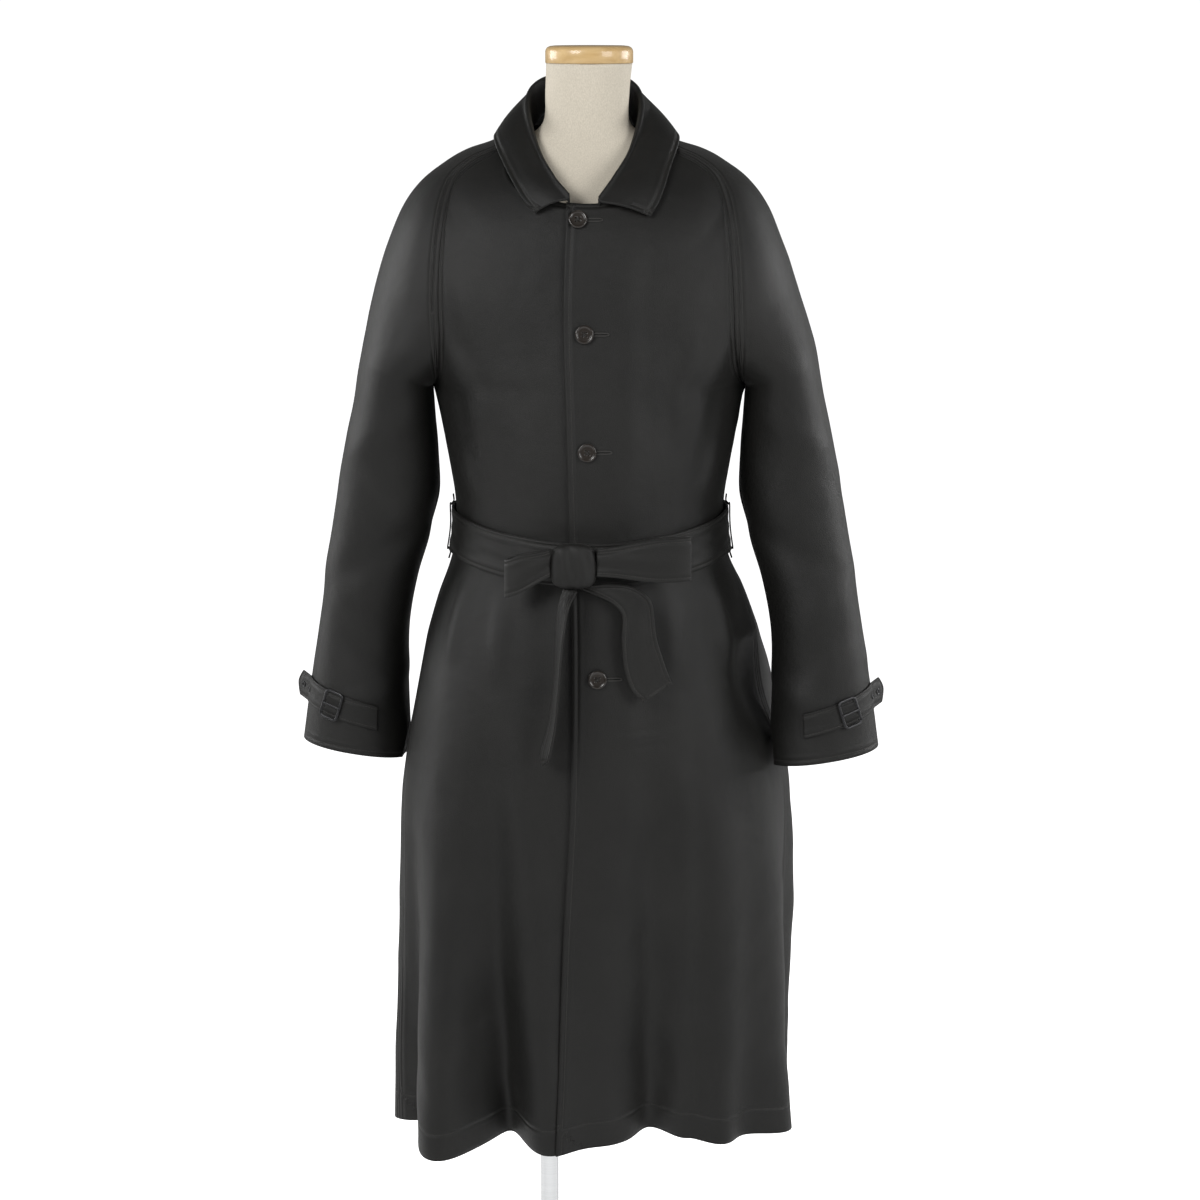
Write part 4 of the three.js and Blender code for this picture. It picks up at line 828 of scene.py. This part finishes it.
def bow_loop(side, reach, droop, flare, bulge, columns=90):
    """A strip that leaves the knot, turns at its tip and comes back; the gap fades at the tip."""
    t = np.linspace(-1, 1, columns)[None, :]
    across = np.linspace(-1, 1, 12)[:, None]
    along = 1 - np.abs(t)
    out = np.sin(along * np.pi / 2)
    gap = np.sign(t) * bulge * (0.45 + 0.55 * np.sin(np.pi * along))
    gap = gap * np.sqrt(np.maximum(0, 1 - out ** 6))
    half = mix(15, flare, smooth(out * 1.3))
    x = knot[0] + side * (KNOT_HALF + 0.5) + side * reach * out + 0 * across
    z = knot[2] + 4 + droop * out + across * half
    y = knot[1] - 3 + gap + 1.4 * np.sin(5 * across + 3 * out) * (1 - out) * np.sign(t)
    grid = np.stack(np.broadcast_arrays(x, y, z), -1)
    n = unit(np.cross(np.gradient(grid, axis=1), np.gradient(grid, axis=0)))
    return grid, (n if n[6, 20, 1] * np.sign(gap[0, 20]) > 0 else -n)


for side, word, sizes in ((-1, "right", (50, -18, 21, 8.5)), (1, "left", (103, 4, 24, 8.5))):
    grid_mm, n = bow_loop(side, *sizes)
    obj, grid = cloth_piece("bow_loop_" + word + "_cloth", grid_mm, [0, 0, 0], TAIL_CLOTH, BELT,
                            strip_lines, ["bow_loop_" + word], n)

# row share, then x y z of one edge and x y z of the other
TAIL_LEFT = np.array([
    [0, -10, -170, 965.4, 0, -171, 965.6], [1, 8, -170, 957, 18, -171, 968], [2, 22, -171, 950, 42, -172, 967],
    [3, 32, -171, 941, 60, -173, 958], [4, 36, -171, 930, 68, -173, 945], [5, 35, -173, 905, 72, -176, 912],
    [6, 38, -174, 875, 80, -178, 885], [7, 46, -174, 852, 86, -178, 868], [8, 60, -174, 838, 90, -177, 859]], float)
TAIL_RIGHT = np.array([
    [0, -29, -168, 964.2, -15, -183, 964.2], [1, -35, -168, 945, -25, -194, 945],
    [2, -38, -169, 910, -31, -203, 910], [3, -40, -171, 862, -35, -207, 862],
    [4, -46, -172, 815, -39, -206, 818], [5, -55, -173, 780, -45, -202, 786],
    [6, -53, -178, 768, -48, -194, 775]], float)


def tail_lines(across, up):
    """Stitching 4 mm inside both long edges and the end."""
    return [(across - 0.004, up), (across[:, -1:] - across - 0.004, up), (up[-1:, :] - up - 0.004, across)]


for word, table in (("left", TAIL_LEFT), ("right", TAIL_RIGHT)):
    rows6 = look(table, np.linspace(0, table[-1, 0], 70))
    u = np.linspace(0, 1, 14)[None, :, None]
    grid_mm = mix(rows6[:, None, 0:3], rows6[:, None, 3:6], u)
    grid_mm[..., 1] += 2.0 * np.sin(np.pi * u[..., 0])
    obj, grid = cloth_piece("belt_tail_" + word + "_cloth", grid_mm, [0, 0, 900], TAIL_CLOTH,
                            BELT, tail_lines, ["belt_tail_" + word])

LOOP_ROWS = np.array([[0, 37, 3.2], [1, 30, 3.2], [2, 27, 5.5], [3, 25, 7.8], [4, 0, 7.9], [5, -25, 7.8],
                      [6, -27, 5.5], [7, -30, 3.4], [8, -37, 3.4]], float)
for side, word in ((1, "left"), (-1, "right")):
    dz, lift = np.moveaxis(look(LOOP_ROWS, np.linspace(0, 8, 64)), -1, 0)
    angle = np.radians(side * 87 + np.linspace(-2.1, 2.1, 8))[None, :] + 0 * dz[:, None]
    z = 1010 + dz[:, None] + 0 * angle
    grid_mm = ring(angle, z) + ring_normal(angle, z) * lift[:, None, None]
    obj, grid = cloth_piece("belt_loop_" + word + "_cloth", grid_mm, [0, 0, 1010], 1.6, BELT, tail_lines,
                            ["belt_loop_" + word])

# %% [markdown]
# ## Cuff straps and buckles
# A narrow strap starts at the sleeve's seam, crosses the front of the cuff through a dark metal
# frame buckle, and its tip stands off past the sleeve's outer edge.

# %% Straps and buckles
STRAP_WIDTH, STRAP_CLOTH, STRAP_LIFT = 27.0, 1.8, 2.8
STRAP_FROM, STRAP_TO = -0.63, -0.1


def strap_place(side, turn, across, lift):
    """A point over the sleeve, along the normal of the sleeve there."""
    share = mix(0.098, 0.135, (turn - STRAP_FROM) / (STRAP_TO - STRAP_FROM))
    share = share + across * STRAP_WIDTH / 2 / 452
    p = arm_point(side, share, turn)
    a = arm_point(side, share, turn + 0.02) - arm_point(side, share, turn - 0.02)
    b = arm_point(side, share + 0.02, turn) - arm_point(side, share - 0.02, turn)
    n = unit(np.cross(a, b))
    y = look(ARM_BACK, share)[..., 1 if side > 0 else 0]
    middle = np.stack(np.broadcast_arrays(side * 265.0, y, p[..., 2]), -1)
    n = n * np.sign((n * (p - middle)).sum(-1, keepdims=True))
    return p + n * np.asarray(lift)[..., None]


def tube(path, normals, wide, tall, around=16, closed=True):
    """An ellipse of half sizes wide and tall carried along a path in metres; returns points and quads."""
    tangent = np.roll(path, -1, 0) - np.roll(path, 1, 0) if closed else np.gradient(path, axis=0)
    side_way = unit(np.cross(tangent, normals))
    a = np.linspace(0, 2 * np.pi, around, endpoint=False)
    v = path[:, None] + side_way[:, None] * (np.cos(a)[None, :, None] * wide) \
        + normals[:, None] * (np.sin(a)[None, :, None] * tall)
    n = len(path)
    i = np.arange(n * around).reshape(n, around)
    j = np.roll(i, -1, 1)
    rows = i if closed else i[:-1]
    nxt = np.roll(i, -1, 0) if closed else i[1:]
    nxt_j = np.roll(j, -1, 0) if closed else j[1:]
    rows_j = j if closed else j[:-1]
    faces = np.stack([rows, nxt, nxt_j, rows_j], -1).reshape(-1, 4).tolist()
    if not closed:
        faces += [list(i[0]), list(i[-1][::-1])]
    return v.reshape(-1, 3), faces


def outward_object(name, verts, faces, material):
    """An object whose faces are turned outwards by its signed volume."""
    verts = np.asarray(verts, float)
    c = verts.mean(0)
    volume = 0.0
    for f in faces:
        p = verts[list(f)] - c
        for m in range(1, len(f) - 1):
            volume += float(np.dot(p[0], np.cross(p[m], p[m + 1])))
    if volume < 0:
        faces = [list(f)[::-1] for f in faces]
    mesh = bpy.data.meshes.new(name)
    mesh.from_pydata(verts.tolist(), [], faces)
    mesh.shade_smooth()
    mesh.materials.append(material)
    obj = bpy.data.objects.new(name, mesh)
    bpy.context.scene.collection.objects.link(obj)
    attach(obj, "root")
    return obj


def rounded_outline(hx, hy, corner, steps=10):
    """A rectangle with quarter-circle corners, as points in a plane."""
    t = np.linspace(0, np.pi / 2, steps)
    parts = [np.stack([sx * (hx - corner) + corner * np.cos(t + q),
                       sy * (hy - corner) + corner * np.sin(t + q)], -1)
             for sx, sy, q in ((1, 1, 0), (-1, 1, np.pi / 2), (-1, -1, np.pi), (1, -1, 1.5 * np.pi))]
    return np.concatenate(parts)


def strap_lines(across, up):
    """Stitching 3 mm inside both long edges and the tip."""
    return [(up - 0.003, across), (up[-1:, :] - up - 0.003, across),
            (across[:, -1:] - across - 0.003, up)]


for side, word in ((1, "left"), (-1, "right")):
    across = np.linspace(-1, 1, 12)[:, None]
    turns = np.linspace(STRAP_FROM, STRAP_TO, 60)[None, :]
    body = strap_place(side, turns + 0 * across, across + 0 * turns, np.full((12, 60), STRAP_LIFT))
    way = unit(body[:, -1] - body[:, -2])
    way = unit(way + np.array([side * 0.5, 0.1, 0.1]))
    tip_len = 24 - 7 * np.abs(across[:, 0]) ** 1.5
    tip = body[:, -1:] + way[:, None, :] * (np.linspace(0, 1, 16)[1:][None, :] * tip_len[:, None])[..., None]
    strap_mm = np.concatenate([body, tip], 1)
    obj, grid = cloth_piece("cuff_strap_" + word + "_cloth", strap_mm, [side * 265, 0, 800],
                            STRAP_CLOTH, COAT, strap_lines, ["cuff_strap_" + word])

    seat = np.array(mix(STRAP_FROM, STRAP_TO, 0.52))
    zero = np.array(0.0)
    centre = strap_place(side, seat, zero, STRAP_LIFT + 0.3 + 1.4)
    n = unit(centre - strap_place(side, seat, zero, 0.0))
    u = unit(strap_place(side, seat + 0.05, zero, 0.0) - strap_place(side, seat - 0.05, zero, 0.0))
    w = unit(np.cross(n, u))
    flat = rounded_outline(11.0, 15.5, 4.5)
    path = (centre + flat[:, :1] * u + flat[:, 1:] * w) * MM
    verts, faces = tube(path, np.tile(n, (len(path), 1)), 1.5 * MM, 1.2 * MM)
    buckle = outward_object("cuff_buckle_" + word + "_metal", verts, faces, METAL)
    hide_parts("cuff_buckle_" + word)
    s = np.linspace(-11.5, 11.5, 20)[:, None]
    path = (centre + u * s + n * (1.9 + 0 * s)) * MM
    verts, faces = tube(path, np.tile(n, (len(path), 1)), 1.1 * MM, 0.8 * MM, closed=False)
    prong = outward_object("cuff_prong_" + word + "_metal", verts, faces, METAL)
    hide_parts("cuff_prong_" + word)
    middle_row = strap_mm[5:7].mean(0)
    for number, col in enumerate((57, 66)):
        c = middle_row[col]
        along = unit(middle_row[col + 1] - middle_row[col - 1])
        wide_way = unit(strap_mm[7, col] - strap_mm[4, col])
        up_way = np.cross(along, wide_way)
        up_way = up_way * np.sign(np.dot(up_way, [side, -1, 0]))
        a = np.linspace(0, 2 * np.pi, 28, endpoint=False)[:, None]
        path = (c + up_way * 0.3 + along * np.cos(a) * 2.6 + wide_way * np.sin(a) * 2.6) * MM
        verts, faces = tube(path, np.tile(up_way, (28, 1)), 0.9 * MM, 0.6 * MM, around=10)
        eyelet = outward_object("strap_eyelet_%s_%d" % (word, number + 1), verts, faces, METAL)

# %% [markdown]
# ## Buttons and buttonholes
# A horn button is turned: a dished face, a raised rim and four holes, with crossed thread. Beside
# each lies the end of a stitched buttonhole.

# %% Buttons
BUTTONS = [(-13, 1362), (-6, 1240), (-3, 1112), (8, 862)]


def button_arrays(rings=60, spokes=96):
    """Height over a disc: back, rim and dish from a profile, less four smooth pits."""
    profile = np.array([[0, 0, 0], [0.3, 9, 0], [0.36, 10.0, 0.7], [0.42, 10.2, 1.5], [0.5, 10.1, 2.6],
                        [0.56, 9.4, 3.3], [0.62, 8.6, 3.35], [0.68, 7.7, 2.9], [0.74, 7.0, 2.3], [1, 0, 2.1]], float)
    r, h = np.moveaxis(look(profile, np.linspace(0, 1, rings)), -1, 0)
    a = np.linspace(0, 2 * np.pi, spokes, endpoint=False)
    x, z = r[:, None] * np.cos(a), r[:, None] * np.sin(a)
    pits = np.zeros_like(x)
    for sx in (-1, 1):
        for sz in (-1, 1):
            pits = pits + np.exp(-(((x - 1.9 * sx) ** 2 + (z - 1.9 * sz) ** 2) / 0.9) ** 2)
    face = np.linspace(0, 1, rings)[:, None] > 0.74
    y = h[:, None] - 1.6 * pits * face
    return np.stack([x, y, z], -1)


def on_front(x, z, lift):
    """Place and outward direction on the left front."""
    a = front_angle(np.array(float(x)), np.array(float(z)))
    n = ring_normal(a, np.array(float(z)))
    return trunk(a, np.array(float(z)), OVERLAP_LIFT + lift), n


for number, (bx, bz) in enumerate(BUTTONS):
    p, n = on_front(bx, bz, 0.5)
    across = unit(np.cross([0, 0, 1.0], n))
    across = across if across[0] > 0 else -across
    upward = unit(np.cross(n, across))
    upward = upward if upward[2] > 0 else -upward
    b = button_arrays()
    rows, cols = b.shape[:2]
    verts = (p + b[..., :1] * across + b[..., 1:2] * n + b[..., 2:3] * upward).reshape(-1, 3) * MM
    faces = ring_faces(rows, cols).tolist()
    button = outward_object("button_%d_horn" % (number + 1), verts, faces, HORN)
    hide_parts("button_%d" % (number + 1))
    threads, thread_faces, count = [], [], 0
    for sx in (-1, 1):
        t = np.linspace(-1, 1, 12)[:, None]
        path = p + across * (1.9 * sx * t) + upward * (1.9 * t) + n * (2.1 + 0.9 * np.cos(t * 1.4) + 0.15 * sx)
        v, f = tube(path * MM, np.tile(n, (12, 1)), 0.45 * MM, 0.35 * MM, around=8, closed=False)
        threads.append(v)
        thread_faces += [[q + count for q in face] for face in f]
        count += len(v)
    cross = outward_object("button_%d_thread" % (number + 1), np.concatenate(threads), thread_faces, THREAD)
    t = np.linspace(0, 2 * np.pi, 80, endpoint=False)
    hx = bx + 17 + 9.5 * np.sign(np.cos(t)) * np.abs(np.cos(t)) ** 0.5
    hz = bz + 1.5 * np.sign(np.sin(t)) * np.abs(np.sin(t)) ** 0.7 * (1 + 0.4 * (np.cos(t) < -0.8))
    a = front_angle(hx, hz)
    path = ring(a, hz) + ring_normal(a, hz) * (relief(a, hz) + overlap_lift(hx) + 0.1)[:, None]
    verts, faces = tube(path * MM, ring_normal(a, hz), 0.8 * MM, 0.5 * MM, around=8)
    hole = outward_object("buttonhole_%d" % (number + 1), verts, faces, THREAD)
print(len(BUTTONS), "buttons")

# %% [markdown]
# ## Dress form and stand
# The form is padded and covered in linen. Its neck ends in a turned wooden cap, and a steel pole
# carries it from a round base.

# %% Dress form
FORM = np.array([
    [775, 118, 84, 0, -8], [790, 136, 98, 0, -8], [840, 148, 106, 0, -8], [900, 148, 106, 0, -8],
    [960, 138, 98, 0, -10], [1025, 126, 92, 0, -12], [1090, 134, 100, 0, -12], [1160, 146, 108, -1, -10],
    [1230, 156, 108, -2, -9], [1300, 168, 102, -3, -6], [1350, 172, 92, -4, -4], [1386, 164, 78, -4, 0],
    [1407, 146, 66, -4, 4], [1423, 118, 58, -4, 6], [1437, 82, 52, -4, 6], [1450, 59, 49, -4, 4],
    [1466, 48, 46, -4, 2], [1500, 47, 46, -3, 0], [1530, 48, 47, -1, -3]], float)
FORM_RISE = 8.9


def lathe(name, profile, centre, material, spokes=96):
    """A profile of (radius, height) turned round a vertical axis, in metres."""
    prof = np.asarray(profile, float) * MM
    a = np.linspace(0, 2 * np.pi, spokes, endpoint=False)
    v = np.stack([centre[0] + prof[:, :1] * np.cos(a), centre[1] + prof[:, :1] * np.sin(a),
                  prof[:, 1:] + 0 * a + centre[2]], -1)
    count = len(v) * spokes
    faces = ring_faces(len(v), spokes).tolist()
    faces += [list(range(spokes))[::-1], list(range(count - spokes, count))]
    obj = outward_object(name, v.reshape(-1, 3), faces, material)
    for poly in obj.data.polygons:
        poly.use_smooth = len(poly.vertices) == 4
    return obj


heights = np.linspace(FORM[0, 0], FORM[-1, 0], 190)
wide, deep, fx, fy = np.moveaxis(look(FORM, heights), -1, 0)
a = np.linspace(0, 2 * np.pi, 120, endpoint=False)
r = (np.abs(np.cos(a)) ** 2.2 + np.abs(np.sin(a)) ** 2.2) ** (-1 / 2.2)
rise = FORM_RISE * np.sin(np.pi * np.clip((heights - 1340) / 130, 0, 1))
form = np.stack([fx[:, None] + wide[:, None] * np.cos(a) * r, fy[:, None] + deep[:, None] * np.sin(a) * r,
                 (heights + rise)[:, None] + 0 * a], -1) * MM
faces = ring_faces(190, 120).tolist()
faces += [list(range(120))[::-1], list(range(189 * 120, 190 * 120))]
torso = outward_object("form_torso_linen", form.reshape(-1, 3), faces, LINEN)
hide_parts("form_torso")

cap_low, cap_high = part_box("form_cap")
cap_r = (cap_high.x - cap_low.x) / 2 / MM
cap_profile = [(0.01, 0), (cap_r - 0.6, 0), (cap_r, 0.8), (cap_r, 13.2), (cap_r - 0.6, 15.2),
               (cap_r - 2.2, 17.4), (cap_r - 5, 18.8), (cap_r - 10, 19.4), (0.01, 19.9)]
cap_place = ((cap_low.x + cap_high.x) / 2, (cap_low.y + cap_high.y) / 2, cap_low.z)
cap = lathe("form_cap_wood", cap_profile, cap_place, WOOD)
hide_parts("form_cap")

pole_low, pole_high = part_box("pole")
pole_r = (pole_high.x - pole_low.x) / 2 / MM
tall = (pole_high.z - pole_low.z) / MM
pole_profile = [(pole_r - 0.4, 0), (pole_r, 0.5), (pole_r, tall * 0.5), (pole_r, tall - 0.5),
                (pole_r - 0.4, tall)]
pole_place = ((pole_low.x + pole_high.x) / 2, (pole_low.y + pole_high.y) / 2, pole_low.z)
pole = lathe("pole_chrome_tube", pole_profile, pole_place, CHROME, 64)
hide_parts("pole")

base_low, base_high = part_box("base")
base_r = (base_high.x - base_low.x) / 2 / MM
base_t = (base_high.z - base_low.z) / MM
base_profile = [(0.01, 0), (base_r - 0.5, 0), (base_r, 0.6), (base_r, base_t - 3.2),
                (base_r - 1, base_t - 1), (base_r - 4, base_t), (0.01, base_t)]
base = lathe("base_plate", base_profile, (0, 0, 0), CHROME, 128)
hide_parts("base")
print("form and stand made")

# %% [markdown]
# ## Light, floor and camera
# A studio picture on white: a broad soft key from the upper left front, a weaker fill from the
# right, and two edge lights that draw the soft bands down the folds.

# %% Stage
floor_mesh = bpy.data.meshes.new("floor")
floor_mesh.from_pydata([(-12, -8, 0), (12, -8, 0), (12, 16, 0), (-12, 16, 0)], [], [(0, 1, 2, 3)])
floor = bpy.data.objects.new("floor", floor_mesh)
bpy.context.scene.collection.objects.link(floor)
floor_look = bpy.data.materials.new("floor_white")
floor_look.use_nodes = True
floor_look.node_tree.nodes["Principled BSDF"].inputs["Base Color"].default_value = (0.93, 0.93, 0.93, 1)
floor_bsdf = floor_look.node_tree.nodes["Principled BSDF"]
floor_bsdf.inputs["Roughness"].default_value = 0.9
floor_bsdf.inputs["Emission Color"].default_value = (1, 1, 1, 1)
seen = floor_look.node_tree.nodes.new("ShaderNodeLightPath")
floor_look.node_tree.links.new(seen.outputs["Is Camera Ray"], floor_bsdf.inputs["Emission Strength"])
floor_mesh.materials.append(floor_look)

world = bpy.data.worlds.new("studio_world")
bpy.context.scene.world = world
world.use_nodes = True
wn, wl = world.node_tree.nodes, world.node_tree.links
background = wn["Background"]
path_node = wn.new("ShaderNodeLightPath")
strength = wn.new("ShaderNodeMapRange")
strength.inputs["To Min"].default_value = 0.16
strength.inputs["To Max"].default_value = 1.05
wl.new(path_node.outputs["Is Camera Ray"], strength.inputs["Value"])
wl.new(strength.outputs["Result"], background.inputs["Strength"])
background.inputs["Color"].default_value = (1, 1, 1, 1)


def soft_light(name, place, aim, size, power):
    """A square lamp that faces a point."""
    data = bpy.data.lights.new(name, "AREA")
    data.shape, data.size, data.energy = "SQUARE", size, power
    lamp = bpy.data.objects.new(name, data)
    lamp.location = place
    lamp.rotation_euler = (Vector(aim) - Vector(place)).to_track_quat("-Z", "Y").to_euler()
    bpy.context.scene.collection.objects.link(lamp)


soft_light("key_left", (-2.0, -2.6, 2.7), (0, 0, 1.0), 1.6, 95)
soft_light("fill_right", (2.4, -2.2, 1.9), (0, 0, 0.9), 1.6, 55)
soft_light("edge_left", (-2.6, 0.9, 1.6), (0, 0, 0.9), 1.4, 45)
soft_light("edge_right", (2.6, 0.9, 1.6), (0, 0, 0.9), 1.4, 45)

# %% Camera
camera_data = bpy.data.cameras.new("camera")
camera_data.sensor_width = 36
camera_data.lens = 106.5
camera = bpy.data.objects.new("camera", camera_data)
camera.location = (0.011, -4.0, 1.6)
camera.rotation_euler = (math.radians(90 - 9.6), 0, 0)
bpy.context.scene.collection.objects.link(camera)
bpy.context.scene.camera = camera
bpy.context.scene.view_settings.view_transform = "Standard"
